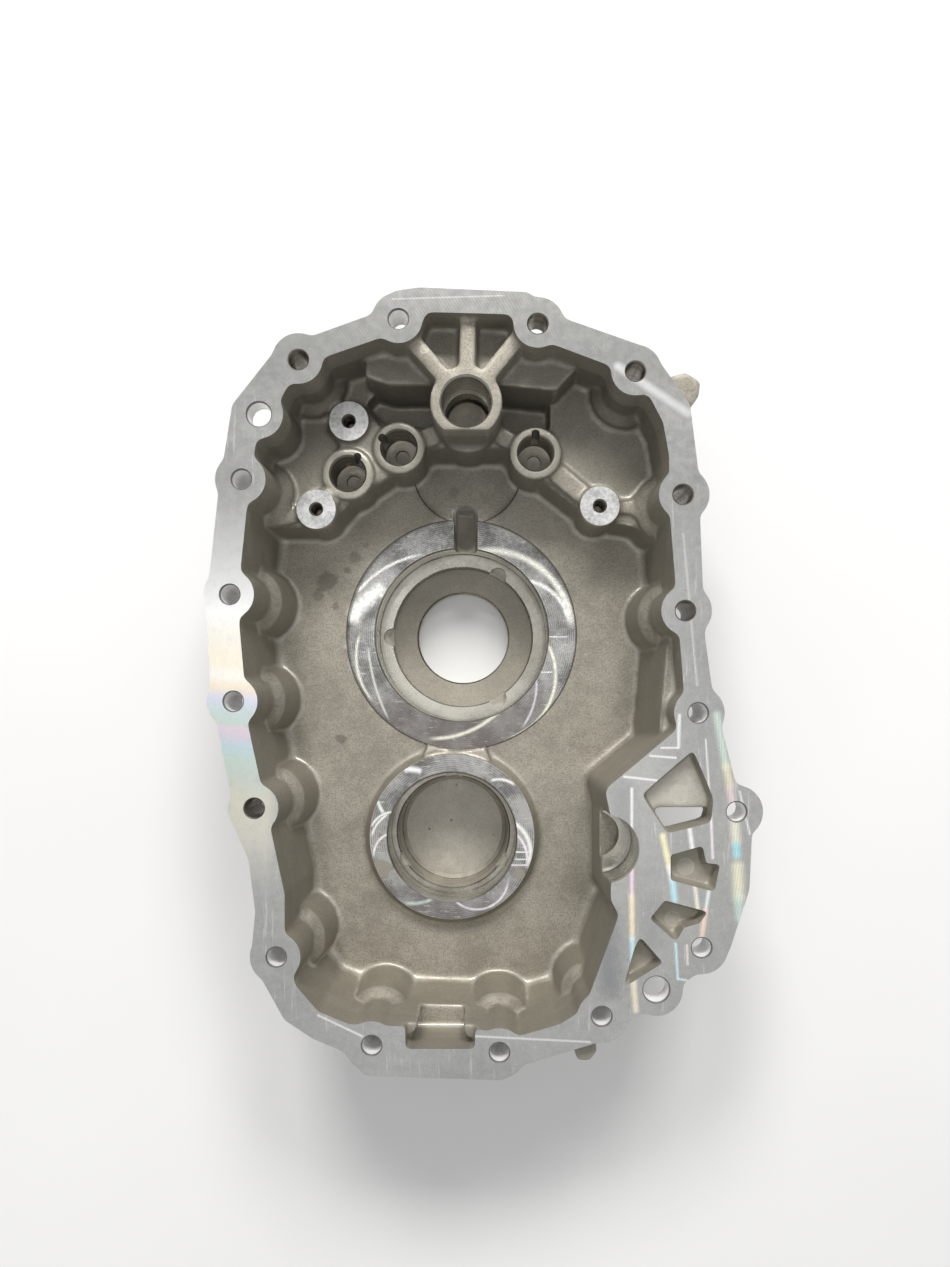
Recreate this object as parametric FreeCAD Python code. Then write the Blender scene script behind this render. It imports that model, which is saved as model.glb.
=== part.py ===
"""Tail housing of a transmission: one aluminium die casting, machined afterwards.

The frame has its origin on the axis of the main bearing seat, on the ring face round its mouth.
+Z comes out of the open side, towards the joint face. +Y runs towards the selector rail bosses.
All sizes are in millimetres.
"""
import FreeCAD
import Part

import math
import os

Vector = FreeCAD.Vector
UP = Vector(0, 0, 1)

# Heights along the main bearing axis.
JOINT_Z = 62.0
SHELF_Z = 46.0
RAIL_TOP_Z = 33.0
WEB_TOP_Z = 30.5
TERRACE_Z = 27.0
LOW_POCKET_Z = 16.0
LOWER_RING_Z = 10.0
FLOOR_Z = 3.0
MAIN_RING_Z = 0.0
REAR_Z = -38.0

# Walls and draft of the casting.
WALL = 5.5
FLOOR_THICKNESS = 6.0
FLANGE_THICKNESS = 11.0
CAVITY_DRAFT = 2.2
OUTER_DRAFT = 2.0
CAST_RADIUS = 4.0
FOOT_RADIUS = 4.5
BASIN_GAP = 0.3
RIGHT_LEDGE_LEAN = 5.2
CUT_OVER = 1.0

# Outermost lines of the joint flange.
TOP_EDGE_Y = 146.0
BOTTOM_EDGE_Y = -195.0

# Joint flange: bolt and dowel holes as (x, y), clockwise from the top left.
BOLT_HOLE_RADIUS = 4.2
DEEP_BOLT_HOLES = {
    "bolt_2": (-68.5, 115.0),
    "bolt_4": (-93.0, 63.5),
    "bolt_5": (-98.0, 14.0),
    "bolt_6": (-96.5, -32.0),
    "bolt_7": (-87.5, -78.0),
    "bolt_8": (-78.0, -142.0),
    "bolt_9": (-37.0, -180.0),
    "bolt_10": (18.0, -183.0),
    "bolt_11": (62.0, -167.5),
    "bolt_16": (98.0, 7.0),
    "bolt_17": (97.0, 57.0),
    "bolt_18": (76.5, 110.0),
}
BURIED_BOLT_HOLE = (103.5, -37.0)
PLAIN_BOLT_HOLES = {
    "bolt_1": (-25.5, 132.5),
    "bolt_13": (105.0, -138.0),
    "bolt_14": (120.0, -79.5),
    "bolt_19": (34.5, 130.5),
}
DOWEL_HOLES = {
    "dowel_3": (-85.5, 91.5, 5.2),
    "dowel_12": (85.5, -156.0, 5.6),
}
LOBE_OUTSIDE = 11.4
LOBE_INSIDE = 10.4
SPOT_FACE_Z = 29.5
WRENCH_RADIUS = 11.5
LEDGE_Z = 34.5
LEDGE_RADIUS = 12.6
LEDGE_RUN = 3.2
POD_FOOT_RADIUS = 17.6

# Outline of the joint flange between its lobes, and of the mouth of the bowl, as corner points.
FLANGE_CORNERS = [
    (-27.0, TOP_EDGE_Y - 1.5), (-16.5, TOP_EDGE_Y), (30.0, TOP_EDGE_Y - 2.0), (45.0, 133.0),
    (80.5, 120.5), (88.0, 112.5),
    (100.0, 95.5), (103.5, 67.5), (105.5, 16.0), (106.5, -5.5), (109.5, -27.0), (119.5, -67.0),
    (126.5, -91.5), (125.5, -113.0), (117.0, -139.0), (97.5, -153.0), (79.0, -166.0), (61.0, -178.5),
    (28.0, -188.5), (19.5, BOTTOM_EDGE_Y), (-40.0, BOTTOM_EDGE_Y + 2.0), (-49.5, -182.5),
    (-62.5, -177.0), (-74.5, -169.0),
    (-89.0, -143.0), (-87.0, -122.5), (-90.0, -100.0), (-97.5, -83.0), (-98.0, -70.0), (-106.0, -28.0),
    (-108.5, 9.5), (-106.0, 29.0), (-103.0, 57.0), (-97.0, 95.5), (-76.5, 121.5), (-63.0, 125.0),
    (-38.0, 134.0),
]
MOUTH_CORNERS = [
    (-13.5, 135.5), (23.0, 134.5), (26.5, 125.0), (40.0, 122.0), (64.0, 113.0), (82.5, 99.5),
    (88.5, 88.0), (91.0, 74.0), (91.5, 47.5), (94.0, 16.0), (97.5, -29.0), (94.0, -44.5),
    (63.5, -70.0), (66.0, -82.0), (66.0, -117.5), (69.5, -124.0), (54.5, -164.5), (44.0, -171.0),
    (26.5, -176.0), (7.5, -173.0), (-46.5, -171.0), (-60.0, -165.5), (-70.0, -154.0), (-74.5, -132.5),
    (-74.5, -115.0), (-80.5, -87.0), (-90.0, -43.5), (-94.0, 1.0), (-93.5, 24.5), (-90.5, 53.5),
    (-87.0, 78.5), (-71.5, 106.5), (-57.5, 116.0), (-31.5, 125.0), (-16.5, 128.0),
]

# Bearing seats.
MAIN_RING_RADIUS = 56.2
MAIN_BORE_RADIUS = 42.5
MAIN_SHOULDER_Z = -19.0
MAIN_SHOULDER_RADIUS = 35.6
SEAL_POCKET_Z = -31.0
OUTPUT_BORE_RADIUS = 23.5
LOWER_SEAT = (-4.4, -98.4)
LOWER_RING_FOOT_RADIUS = 43.6
LOWER_RING_RADIUS = 39.5
LOWER_BORE_RADIUS = 31.0
LOWER_SHOULDER_Z = -8.0
LOWER_SHOULDER_RADIUS = 28.0
LOWER_BLIND_Z = -25.0
LOWER_BLIND_RADIUS = 26.4
SEAT_WALL = 6.0
REAR_STEP = 3.0
REAR_FACE_RADIUS = 35.0
DOME_FLARE = 6.0
PULLER_DEPTH = 3.0
PULLER_WIDTH = 11.0
PULLER_REACH = 5.0

# Oil path above the main seat.
SLOT_HALF_TOP = 6.0
SLOT_HALF_FOOT = 6.3
SLOT_DRAFT = 6.0
SLOT_X = 2.0
SLOT_TOP_Y = 61.5
SLOT_RAMP_Y = 44.0
SLOT_FLOOR_Z = -12.0
SHIELD_DEPTH = 0.9
SHIELD = (2.8, 81.0)
SHIELD_RADIUS = 26.5

# Selector rail bosses (x, y, direction of the oil groove in degrees).
RAIL_BOSSES = {
    "rail_1": (-51.5, 72.5, 60.0),
    "rail_2": (-28.0, 84.5, 150.0),
    "rail_3": (35.0, 82.0, 90.0),
}
RAIL_OUTER_RADIUS = 12.0
RAIL_BORE_RADIUS = 8.0
RAIL_BORE_DEPTH = 20.0
GROOVE_WIDTH = 3.8
GROOVE_REACH = 10.6

# Top rail boss with the three ribs that tie it to the wall.
TOP_BOSS = (3.5, 98.5)
TOP_BOSS_Z = 57.0
TOP_BOSS_RADIUS = 15.9
TOP_BOSS_FLAT_Y = 86.0
TOP_BOSS_FLAT_Z = 32.0
TOP_BORE_RADIUS = 10.9
TOP_BORE_STEP_Z = 35.0
TOP_BORE_STEP_RADIUS = 10.2
TOP_BORE_FLOOR_Z = 24.0
TIE_RIB_Z = 57.5
TIE_RIB_WIDTH = 7.0

# Notch in the flange at the bottom of the bowl, with the oil channel below it.
NOTCH_LEFT = -22.5
NOTCH_WIDTH = 30.0
NOTCH_Y = -181.5
NOTCH_MOUTH_Y = -172.0
CHANNEL_Z = 34.0
CHANNEL_LEFT = -16.9
CHANNEL_WIDTH = 18.8
CHANNEL_START_Y = -160.0
EAR_Z = 57.0
EAR_RADIUS = 5.2

# Tapped pads.
PADS = {
    "pad_1": (-66.0, 56.0),
    "pad_2": (-51.0, 96.5),
    "pad_3": (64.5, 57.5),
}
PAD_TOP_Z = 33.5
PAD_RADIUS = 8.6
PAD_FOOT_RADIUS = 9.6
PAD_STEP = 1.5
PAD_THREAD_RADIUS = 2.5
PAD_THREAD_DEPTH = 14.0
PAD_SINK_RADIUS = 3.2

# Half-round bearing recess in the wall beside the wide machined area.
RECESS = (63.5, -95.5)
RECESS_RADIUS = 14.2
RECESS_FLOOR_Z = 36.0
RECESS_WALL = 4.5
RECESS_NICHE = (62.5, -93.0)
RECESS_NICHE_RADIUS = 10.0
RECESS_NICHE_DEPTH = 6.0

# Relief pockets in the wide machined area, as corner points, with their depth.
POCKETS = {
    "pocket_1": [(101.5, -52.0), (110.5, -73.5), (109.5, -84.5), (90.0, -89.5), (78.5, -72.0)],
    "pocket_2": [(91.5, -98.0), (105.5, -94.0), (107.0, -101.5), (113.0, -102.0), (110.5, -114.0),
                 (91.5, -109.0)],
    "pocket_3": [(89.0, -117.5), (108.0, -122.5), (104.0, -127.5), (97.5, -129.5), (94.0, -135.5),
                 (82.5, -125.5)],
    "pocket_4": [(78.5, -133.0), (88.5, -144.5), (71.0, -155.5), (76.0, -138.0)],
}
POCKET_DEPTH = 6.5
POCKET_DRAFT = 2.0
POCKET_CORNER = 1.6
WINDOW_CORNERS = [(84.5, -78.5), (109.5, -78.5), (108.5, -84.0), (91.0, -88.5)]
EXTENSION_DEPTH = 18.0
LUG_LOW_Z = 30.0
SMALL_LUG_LOW_Z = 40.0
RELIEF_CLEARANCE = 2.0
EXTENSION_CORNERS = [
    (66.0, -66.0), (97.0, -43.0), (109.0, -40.0), (117.5, -67.0), (124.0, -92.0), (123.0, -112.0),
    (115.0, -136.0), (96.5, -151.0), (78.0, -163.5), (56.0, -170.0), (62.0, -118.0), (61.0, -82.0),
]


def lift(shape, z):
    """Return a copy of a flat shape moved up to height z."""
    moved = shape.copy()
    moved.translate(Vector(0, 0, z))
    return moved


def outline_face(corners):
    """Return the flat face inside straight lines between the corner points."""
    points = [Vector(x, y, 0) for x, y in corners]
    return Part.Face(Part.makePolygon(points + [points[0]]))


def round_corners(face, inner_radius, outer_radius):
    """Round the hollow corners of a flat face first, then the corners that stand out."""
    face = face.makeOffset2D(inner_radius).makeOffset2D(-inner_radius)
    face = face.makeOffset2D(-outer_radius).makeOffset2D(outer_radius)
    return face.Faces[0]


def rounded_outline(corners, radius):
    """Return a flat face with every corner rounded to one radius."""
    return round_corners(outline_face(corners), radius, radius)


def drafted(face, z_wide, z_narrow, draft):
    """Return the solid between a flat face at z_wide and the same face drawn in at z_narrow."""
    wide = lift(face.OuterWire, z_wide)
    narrow = lift(face.makeOffset2D(-draft).Faces[0].OuterWire, z_narrow)
    return Part.makeLoft([wide, narrow], True, True)


def prism(face, z_low, z_high):
    """Return a straight solid over a flat face."""
    return lift(face, z_low).extrude(Vector(0, 0, z_high - z_low))


def round_post(x, y, z_low, z_high, low_radius, high_radius=None):
    """Return a cylinder, or a cone when its two radii differ."""
    base = Vector(x, y, z_low)
    if high_radius is None or high_radius == low_radius:
        return Part.makeCylinder(low_radius, z_high - z_low, base, UP)
    return Part.makeCone(low_radius, high_radius, z_high - z_low, base, UP)


def bar(start, end, width, z_low, z_high, draft=0.0):
    """Return a rib between two points that gets wider by draft on each side towards z_low."""
    run = Vector(end[0] - start[0], end[1] - start[1], 0)
    side = Vector(-run.y, run.x, 0).normalize()

    def section(z, half):
        a = Vector(start[0], start[1], z)
        b = Vector(end[0], end[1], z)
        points = [a + side * half, b + side * half, b - side * half, a - side * half]
        return Part.makePolygon(points + [points[0]])

    return Part.makeLoft([section(z_low, width / 2 + draft), section(z_high, width / 2)], True, True)


def fuse_all(solids):
    """Return one shape out of many."""
    return solids[0].multiFuse(solids[1:])


def deep_bolts():
    """Return the bolt holes whose heads sit deep below the flange, as (x, y)."""
    return list(DEEP_BOLT_HOLES.values()) + [BURIED_BOLT_HOLE]


def all_bolts():
    """Return every bolt hole of the joint flange as (x, y)."""
    return deep_bolts() + list(PLAIN_BOLT_HOLES.values())


def lobe_centres():
    """Return the centre of every lobe of the flange: bolts and dowels."""
    return all_bolts() + [(x, y) for x, y, _ in DOWEL_HOLES.values()]


def flange_face():
    """Return the outline of the joint flange with a lobe round each hole."""
    height = 1.0
    pieces = [prism(outline_face(FLANGE_CORNERS), 0, height)]
    pieces += [round_post(x, y, 0, height, LOBE_OUTSIDE) for x, y in lobe_centres()]
    joined = fuse_all(pieces).removeSplitter()
    lid = [face for face in joined.Faces if face.CenterOfMass.z > height - 1e-3]
    return round_corners(lift(lid[0], -height), CAST_RADIUS, CAST_RADIUS / 2)


def mouth_face():
    """Return the mouth of the bowl, drawn back round each lobe."""
    face = outline_face(MOUTH_CORNERS)
    for x, y in lobe_centres():
        face = face.cut(Part.Face(Part.Wire(Part.makeCircle(LOBE_INSIDE, Vector(x, y, 0)))))
    return round_corners(face.removeSplitter().Faces[0], CAST_RADIUS, CAST_RADIUS)


def bowl(mouth):
    """Return the drafted hollow of the bowl; a plainer basin just outside it rounds the foot."""
    hollow = drafted(mouth, JOINT_Z, FLOOR_Z, CAVITY_DRAFT)
    plain = round_corners(outline_face(MOUTH_CORNERS), CAST_RADIUS, CAST_RADIUS)
    basin = drafted(plain.makeOffset2D(BASIN_GAP).Faces[0], JOINT_Z, FLOOR_Z, CAVITY_DRAFT)
    foot = [edge for edge in basin.Edges if edge.BoundBox.ZMax < FLOOR_Z + 1e-3]
    return hollow.common(basin.makeFillet(FOOT_RADIUS, foot))


def wrench_pod(x, y):
    """Return the metal that stands into the bowl where a bolt head needs room outside."""
    ledge_foot_z = LEDGE_Z - LEDGE_RUN
    ledge_foot_radius = LEDGE_RADIUS + LEDGE_RUN
    ledge = round_post(x, y, ledge_foot_z, LEDGE_Z, ledge_foot_radius, LEDGE_RADIUS)
    wall = round_post(x, y, FLOOR_Z - CUT_OVER, ledge_foot_z, POD_FOOT_RADIUS, ledge_foot_radius)
    return ledge.fuse(wall)


def terrace():
    """Return the raised floor behind the rail bosses, with the shelf beside the top boss."""
    step = rounded_outline([
        (-110, 47), (-62, 47), (-49, 61), (-30, 74), (-13, 84), (20, 84), (33, 73), (61, 51),
        (80, 48), (92, 42), (110, 42), (110, 150), (-110, 150)], 3.0)
    pocket_right = rounded_outline([(14, 94), (25, 92), (41.5, 94), (41.5, 112), (14, 112)], 2.0)
    pocket_left = rounded_outline([(-44, 106), (-36, 98), (-7, 94), (-7, 114), (-36, 114)], 2.0)
    shelf = rounded_outline([
        (-41, 160), (-43, 112), (-31, 108), (18, 108), (44, 105.5), (54, 116), (60, 160)], 2.5)
    floor = drafted(step, FLOOR_Z - CUT_OVER, TERRACE_Z, 1.2)
    for pocket in (pocket_right, pocket_left):
        floor = floor.cut(prism(pocket, LOW_POCKET_Z, TERRACE_Z + CUT_OVER))
    plateau = rounded_outline([
        (-60, 101), (-62, 93), (-56.5, 86), (-60, 72), (-50, 61), (-28, 74), (-30, 92), (-37, 96),
        (-42, 103)], 2.5)
    return [
        floor,
        drafted(shelf, LOW_POCKET_Z - CUT_OVER, SHELF_Z, 1.0),
        drafted(plateau, TERRACE_Z - CUT_OVER, WEB_TOP_Z, 0.6),
    ]


def right_ledge():
    """Return the metal between the right wall and the buried bolt, with its narrow ledge."""
    foot = outline_face([(88.1, -3.0), (84.0, -50.0), (97.0, -50.0), (99.0, -3.0)])
    foot_z = FLOOR_Z - CUT_OVER
    return [lift(foot, foot_z).extrude(Vector(RIGHT_LEDGE_LEAN, 0, SHELF_Z - foot_z))]


def rail_bosses():
    """Return the three rail bosses and the webs that tie them to each other and to the walls."""
    metal = []
    for x, y, _ in RAIL_BOSSES.values():
        metal.append(round_post(x, y, FLOOR_Z - CUT_OVER, RAIL_TOP_Z, RAIL_OUTER_RADIUS))
    for x, y in PADS.values():
        metal.append(round_post(x, y, FLOOR_Z - CUT_OVER, PAD_TOP_Z - PAD_STEP, PAD_FOOT_RADIUS))
        metal.append(round_post(x, y, TERRACE_Z, PAD_TOP_Z, PAD_RADIUS))
    rail_1, rail_2, rail_3 = [boss[:2] for boss in RAIL_BOSSES.values()]
    pad_1, pad_2, pad_3 = PADS.values()
    webs = [
        (rail_1, rail_2, 13.0), (rail_2, (-10, 92), 9.0), (rail_3, (17, 92), 8.0),
        (rail_3, pad_3, 9.0), (pad_1, rail_1, 11.0),
        (pad_3, (80, 57.5), 6.5), ((80, 57.5), (93, 71), 5.5), ((80, 57.5), (95, 43), 5.5),
        (pad_1, (-97, 50), 7.0),
    ]
    for start, end, width in webs:
        metal.append(bar(start, end, width, TERRACE_Z - 1, WEB_TOP_Z, 0.5))
    return metal


def top_boss():
    """Return the top boss with its flat front and the three ribs to the wall."""
    x, y = TOP_BOSS
    post = round_post(x, y, FLOOR_Z - CUT_OVER, TOP_BOSS_Z, TOP_BOSS_RADIUS)
    front = Part.makeBox(60, 30, JOINT_Z, Vector(x - 30, TOP_BOSS_FLAT_Y - 30, TOP_BOSS_FLAT_Z))
    metal = [post.cut(front)]
    low_z = SHELF_Z - CUT_OVER
    for end in ((4.5, 137.0), (-22.0, 127.5), (27.5, 128.0)):
        metal.append(bar(TOP_BOSS, end, TIE_RIB_WIDTH, low_z, TIE_RIB_Z, 0.7))
    return metal


def lower_seat_boss():
    """Return the raised ring of the lower bearing seat and the neck that ties it to the floor."""
    x, y = LOWER_SEAT
    boss = round_post(x, y, FLOOR_Z - CUT_OVER, LOWER_RING_Z, LOWER_RING_FOOT_RADIUS,
                      LOWER_RING_RADIUS)
    neck = rounded_outline([(-24, -45), (-17, -54), (-24, -68), (18, -68), (12, -54), (19, -45)], 2.0)
    return [boss, drafted(neck, FLOOR_Z - CUT_OVER, LOWER_RING_Z - 1.0, 1.0)]


def hollow_inside(mouth):
    """Return the bowl as a hollow, less everything cast inside it."""
    metal = [wrench_pod(x, y) for x, y in DEEP_BOLT_HOLES.values()]
    metal += terrace() + rail_bosses() + top_boss() + lower_seat_boss() + right_ledge()
    shield = round_post(*SHIELD, FLOOR_Z - SHIELD_DEPTH, FLOOR_Z + CUT_OVER, SHIELD_RADIUS)
    return bowl(mouth).fuse(shield).cut(fuse_all(metal))


def rear_domes():
    """Return the seat housings on the rear, turned about the axes of their seats."""
    lower_x, lower_y = LOWER_SEAT
    main = [
        round_post(0, 0, MAIN_SHOULDER_Z - SEAT_WALL, FLOOR_Z, MAIN_BORE_RADIUS + SEAT_WALL,
                   MAIN_BORE_RADIUS + SEAT_WALL + DOME_FLARE),
        round_post(0, 0, REAR_Z + REAR_STEP, FLOOR_Z, MAIN_SHOULDER_RADIUS + SEAT_WALL),
        round_post(0, 0, REAR_Z, FLOOR_Z, REAR_FACE_RADIUS),
    ]
    lower = [
        round_post(lower_x, lower_y, LOWER_SHOULDER_Z - SEAT_WALL, FLOOR_Z, LOWER_BORE_RADIUS + SEAT_WALL,
                   LOWER_BORE_RADIUS + SEAT_WALL + DOME_FLARE),
        round_post(lower_x, lower_y, LOWER_BLIND_Z - SEAT_WALL, FLOOR_Z, LOWER_BLIND_RADIUS + SEAT_WALL),
    ]
    return main + lower


def rear_ribs():
    """Return the stiffening ribs that run over the rear from the main dome to the walls."""
    ribs = []
    ends = ((-84, 8), (-80, -38), (-60, 40), (84, 6), (84, -34), (60, 36))
    for end in ends:
        ribs.append(bar((0, 0), end, 4.0, -FLOOR_THICKNESS - 12.0, FLOOR_Z))
    for end in ((-64, -112), (-56, -146), (0, -162), (44, -146), (56, -108)):
        ribs.append(bar(LOWER_SEAT, end, 4.0, -FLOOR_THICKNESS - 8.0, FLOOR_Z))
    ribs.append(bar((0, 0), LOWER_SEAT, 5.0, -FLOOR_THICKNESS - 14.0, FLOOR_Z))
    return ribs


def lugs():
    """Return the two cast lugs that stand out below the flange on the right."""
    large = rounded_outline([(88, 108), (99, 111), (105.5, 107), (105, 101), (100, 94), (92, 96)], 2.5)
    small = rounded_outline([(48, -176), (52, -188.5), (57, -189), (60.5, -185), (60, -174)], 2.0)
    return [prism(large, LUG_LOW_Z, JOINT_Z - 4.0), prism(small, SMALL_LUG_LOW_Z, JOINT_Z - 5.0)]


def notch_box():
    """Return the wall that closes the notch and its channel from outside."""
    left = NOTCH_LEFT - WALL
    right = NOTCH_LEFT + NOTCH_WIDTH + WALL
    near = NOTCH_Y - WALL
    face = outline_face([(left, NOTCH_MOUTH_Y), (right, NOTCH_MOUTH_Y), (right, near), (left, near)])
    return prism(face, CHANNEL_Z - WALL, JOINT_Z - CUT_OVER)


def body(mouth, flange):
    """Return the outside of the casting as a full solid."""
    low_z = FLOOR_Z - FLOOR_THICKNESS
    shell_face = round_corners(outline_face(MOUTH_CORNERS), WALL + 2 * CAST_RADIUS, CAST_RADIUS)
    shell_face = shell_face.makeOffset2D(WALL).Faces[0]
    shell = drafted(shell_face, JOINT_Z - 1, low_z, OUTER_DRAFT)
    foot = [edge for edge in shell.Edges if edge.BoundBox.ZMax < low_z + 1e-3]
    shell = shell.makeFillet(CAST_RADIUS, foot)
    solids = [shell, prism(flange, JOINT_Z - FLANGE_THICKNESS, JOINT_Z)]
    for x, y in deep_bolts():
        solids.append(round_post(x, y, SPOT_FACE_Z, JOINT_Z - CUT_OVER, LOBE_OUTSIDE))
    extension = rounded_outline(EXTENSION_CORNERS, 3.0)
    solids.append(prism(extension, JOINT_Z - EXTENSION_DEPTH, JOINT_Z - 1))
    x, y = RECESS
    solids.append(round_post(x, y, 20.0, JOINT_Z - 1, RECESS_RADIUS + RECESS_WALL - 4,
                             RECESS_RADIUS + RECESS_WALL))
    solids += lugs() + [notch_box()]
    slot_wall = bar((SLOT_X, 30), (SLOT_X, SLOT_TOP_Y + 4), 20.0, SLOT_FLOOR_Z - 5, FLOOR_Z, 0.0)
    return fuse_all(solids + [slot_wall] + rear_domes() + rear_ribs())


def wrench_cuts():
    """Return the room for the bolt heads, and the relief that lets the plain holes run out."""
    cuts = [round_post(x, y, REAR_Z, SPOT_FACE_Z, WRENCH_RADIUS) for x, y in deep_bolts()]
    low_z = JOINT_Z - FLANGE_THICKNESS
    for x, y in PLAIN_BOLT_HOLES.values():
        cuts.append(round_post(x, y, REAR_Z, low_z, BOLT_HOLE_RADIUS + RELIEF_CLEARANCE))
    for x, y, radius in DOWEL_HOLES.values():
        cuts.append(round_post(x, y, REAR_Z, low_z, radius + RELIEF_CLEARANCE))
    return cuts


def flange_holes():
    """Return the holes through the joint flange."""
    cuts = []
    for x, y in all_bolts():
        cuts.append(round_post(x, y, SPOT_FACE_Z - CUT_OVER, JOINT_Z + CUT_OVER, BOLT_HOLE_RADIUS))
    for x, y, radius in DOWEL_HOLES.values():
        cuts.append(round_post(x, y, SPOT_FACE_Z - CUT_OVER, JOINT_Z + CUT_OVER, radius))
    return cuts


def puller_notches(x, y, shoulder_z, inner_radius, angles):
    """Return the notches in a bearing shoulder that let a puller grip the bearing."""
    cuts = []
    for angle in angles:
        direction = Vector(math.cos(math.radians(angle)), math.sin(math.radians(angle)), 0)
        near = Vector(x, y, 0) + direction * (inner_radius - 4.0)
        far = Vector(x, y, 0) + direction * (inner_radius + PULLER_REACH)
        cuts.append(bar((near.x, near.y), (far.x, far.y), PULLER_WIDTH, shoulder_z - PULLER_DEPTH,
                        shoulder_z + CUT_OVER))
    return cuts


def seat_cuts():
    """Return both bearing seats, the seal pocket, the output bore and the oil slot."""
    high = JOINT_Z
    x, y = LOWER_SEAT
    slot = outline_face([
        (SLOT_X - SLOT_HALF_TOP, SLOT_TOP_Y), (SLOT_X + SLOT_HALF_TOP, SLOT_TOP_Y),
        (SLOT_X + SLOT_HALF_FOOT, 30.0), (SLOT_X - SLOT_HALF_FOOT, 30.0)])
    profile = [Vector(0, y, z) for y, z in (
        (30.0, SLOT_FLOOR_Z), (SLOT_RAMP_Y, SLOT_FLOOR_Z), (SLOT_TOP_Y, FLOOR_Z - SHIELD_DEPTH),
        (SLOT_TOP_Y, JOINT_Z), (30.0, JOINT_Z))]
    ramp = Part.Face(Part.makePolygon(profile + [profile[0]])).extrude(Vector(4 * SLOT_HALF_TOP, 0, 0))
    ramp.translate(Vector(SLOT_X - 2 * SLOT_HALF_TOP, 0, 0))
    cuts = [
        round_post(0, 0, MAIN_RING_Z, MAIN_RING_Z + 12.0, MAIN_RING_RADIUS),
        round_post(0, 0, MAIN_SHOULDER_Z, high, MAIN_BORE_RADIUS),
        round_post(0, 0, SEAL_POCKET_Z, high, MAIN_SHOULDER_RADIUS),
        round_post(0, 0, REAR_Z - CUT_OVER, high, OUTPUT_BORE_RADIUS),
        round_post(x, y, LOWER_RING_Z, high, LOWER_RING_RADIUS),
        round_post(x, y, LOWER_SHOULDER_Z, high, LOWER_BORE_RADIUS),
        round_post(x, y, LOWER_BLIND_Z, LOWER_SHOULDER_Z, LOWER_BLIND_RADIUS, LOWER_SHOULDER_RADIUS),
        drafted(slot, FLOOR_Z, SLOT_FLOOR_Z, SLOT_DRAFT).common(ramp),
    ]
    cuts += puller_notches(0, 0, MAIN_SHOULDER_Z, MAIN_SHOULDER_RADIUS, (60, 180, 300))
    cuts += puller_notches(x, y, LOWER_SHOULDER_Z, LOWER_SHOULDER_RADIUS, (90, 210, 330))
    return cuts


def rail_cuts():
    """Return the rail bores with their oil grooves, and the tapped holes of the pads."""
    cuts = []
    for x, y, angle in RAIL_BOSSES.values():
        low_z = RAIL_TOP_Z - RAIL_BORE_DEPTH
        cuts.append(round_post(x, y, low_z, RAIL_TOP_Z + CUT_OVER, RAIL_BORE_RADIUS))
        reach_x = x + GROOVE_REACH * math.cos(math.radians(angle))
        reach_y = y + GROOVE_REACH * math.sin(math.radians(angle))
        cuts.append(bar((x, y), (reach_x, reach_y), GROOVE_WIDTH, low_z, RAIL_TOP_Z + CUT_OVER))
    for x, y in PADS.values():
        sink_z = PAD_TOP_Z - (PAD_SINK_RADIUS - PAD_THREAD_RADIUS)
        cuts.append(round_post(x, y, PAD_TOP_Z - PAD_THREAD_DEPTH, PAD_TOP_Z, PAD_THREAD_RADIUS))
        cuts.append(round_post(x, y, sink_z, PAD_TOP_Z, PAD_THREAD_RADIUS, PAD_SINK_RADIUS))
    x, y = TOP_BOSS
    cuts.append(round_post(x, y, TOP_BORE_STEP_Z, JOINT_Z, TOP_BORE_RADIUS))
    cuts.append(round_post(x, y, TOP_BORE_FLOOR_Z, JOINT_Z, TOP_BORE_STEP_RADIUS))
    return cuts


def extension_cuts():
    """Return the half-round recess and the relief pockets of the wide machined area."""
    x, y = RECESS
    cuts = [round_post(x, y, RECESS_FLOOR_Z, JOINT_Z + CUT_OVER, RECESS_RADIUS),
            round_post(*RECESS_NICHE, RECESS_FLOOR_Z - RECESS_NICHE_DEPTH, JOINT_Z, RECESS_NICHE_RADIUS)]
    for corners in POCKETS.values():
        mouth = rounded_outline(corners, POCKET_CORNER)
        cuts.append(drafted(mouth, JOINT_Z, JOINT_Z - POCKET_DEPTH, POCKET_DRAFT))
    window = rounded_outline(WINDOW_CORNERS, POCKET_CORNER)
    cuts.append(prism(window, REAR_Z, JOINT_Z - POCKET_DEPTH + CUT_OVER))
    return cuts


def flange_notch():
    """Return the notch in the joint flange at the bottom of the bowl, with the channel to it."""
    right = NOTCH_LEFT + NOTCH_WIDTH
    mouth_y = NOTCH_MOUTH_Y
    outline = rounded_outline([
        (NOTCH_LEFT, NOTCH_Y), (right, NOTCH_Y), (right, mouth_y + 1), (NOTCH_LEFT, mouth_y + 1)], 1.5)
    notch = prism(outline, CHANNEL_Z, JOINT_Z + CUT_OVER)
    ears = [round_post(NOTCH_LEFT, mouth_y, CHANNEL_Z, EAR_Z, EAR_RADIUS),
            round_post(right, mouth_y - 2.0, CHANNEL_Z, EAR_Z, EAR_RADIUS)]
    channel = Part.makeBox(CHANNEL_WIDTH, CHANNEL_START_Y - NOTCH_Y - CUT_OVER, JOINT_Z - CHANNEL_Z,
                           Vector(CHANNEL_LEFT, NOTCH_Y + CUT_OVER, CHANNEL_Z))
    return [notch.cut(ears), channel]


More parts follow.
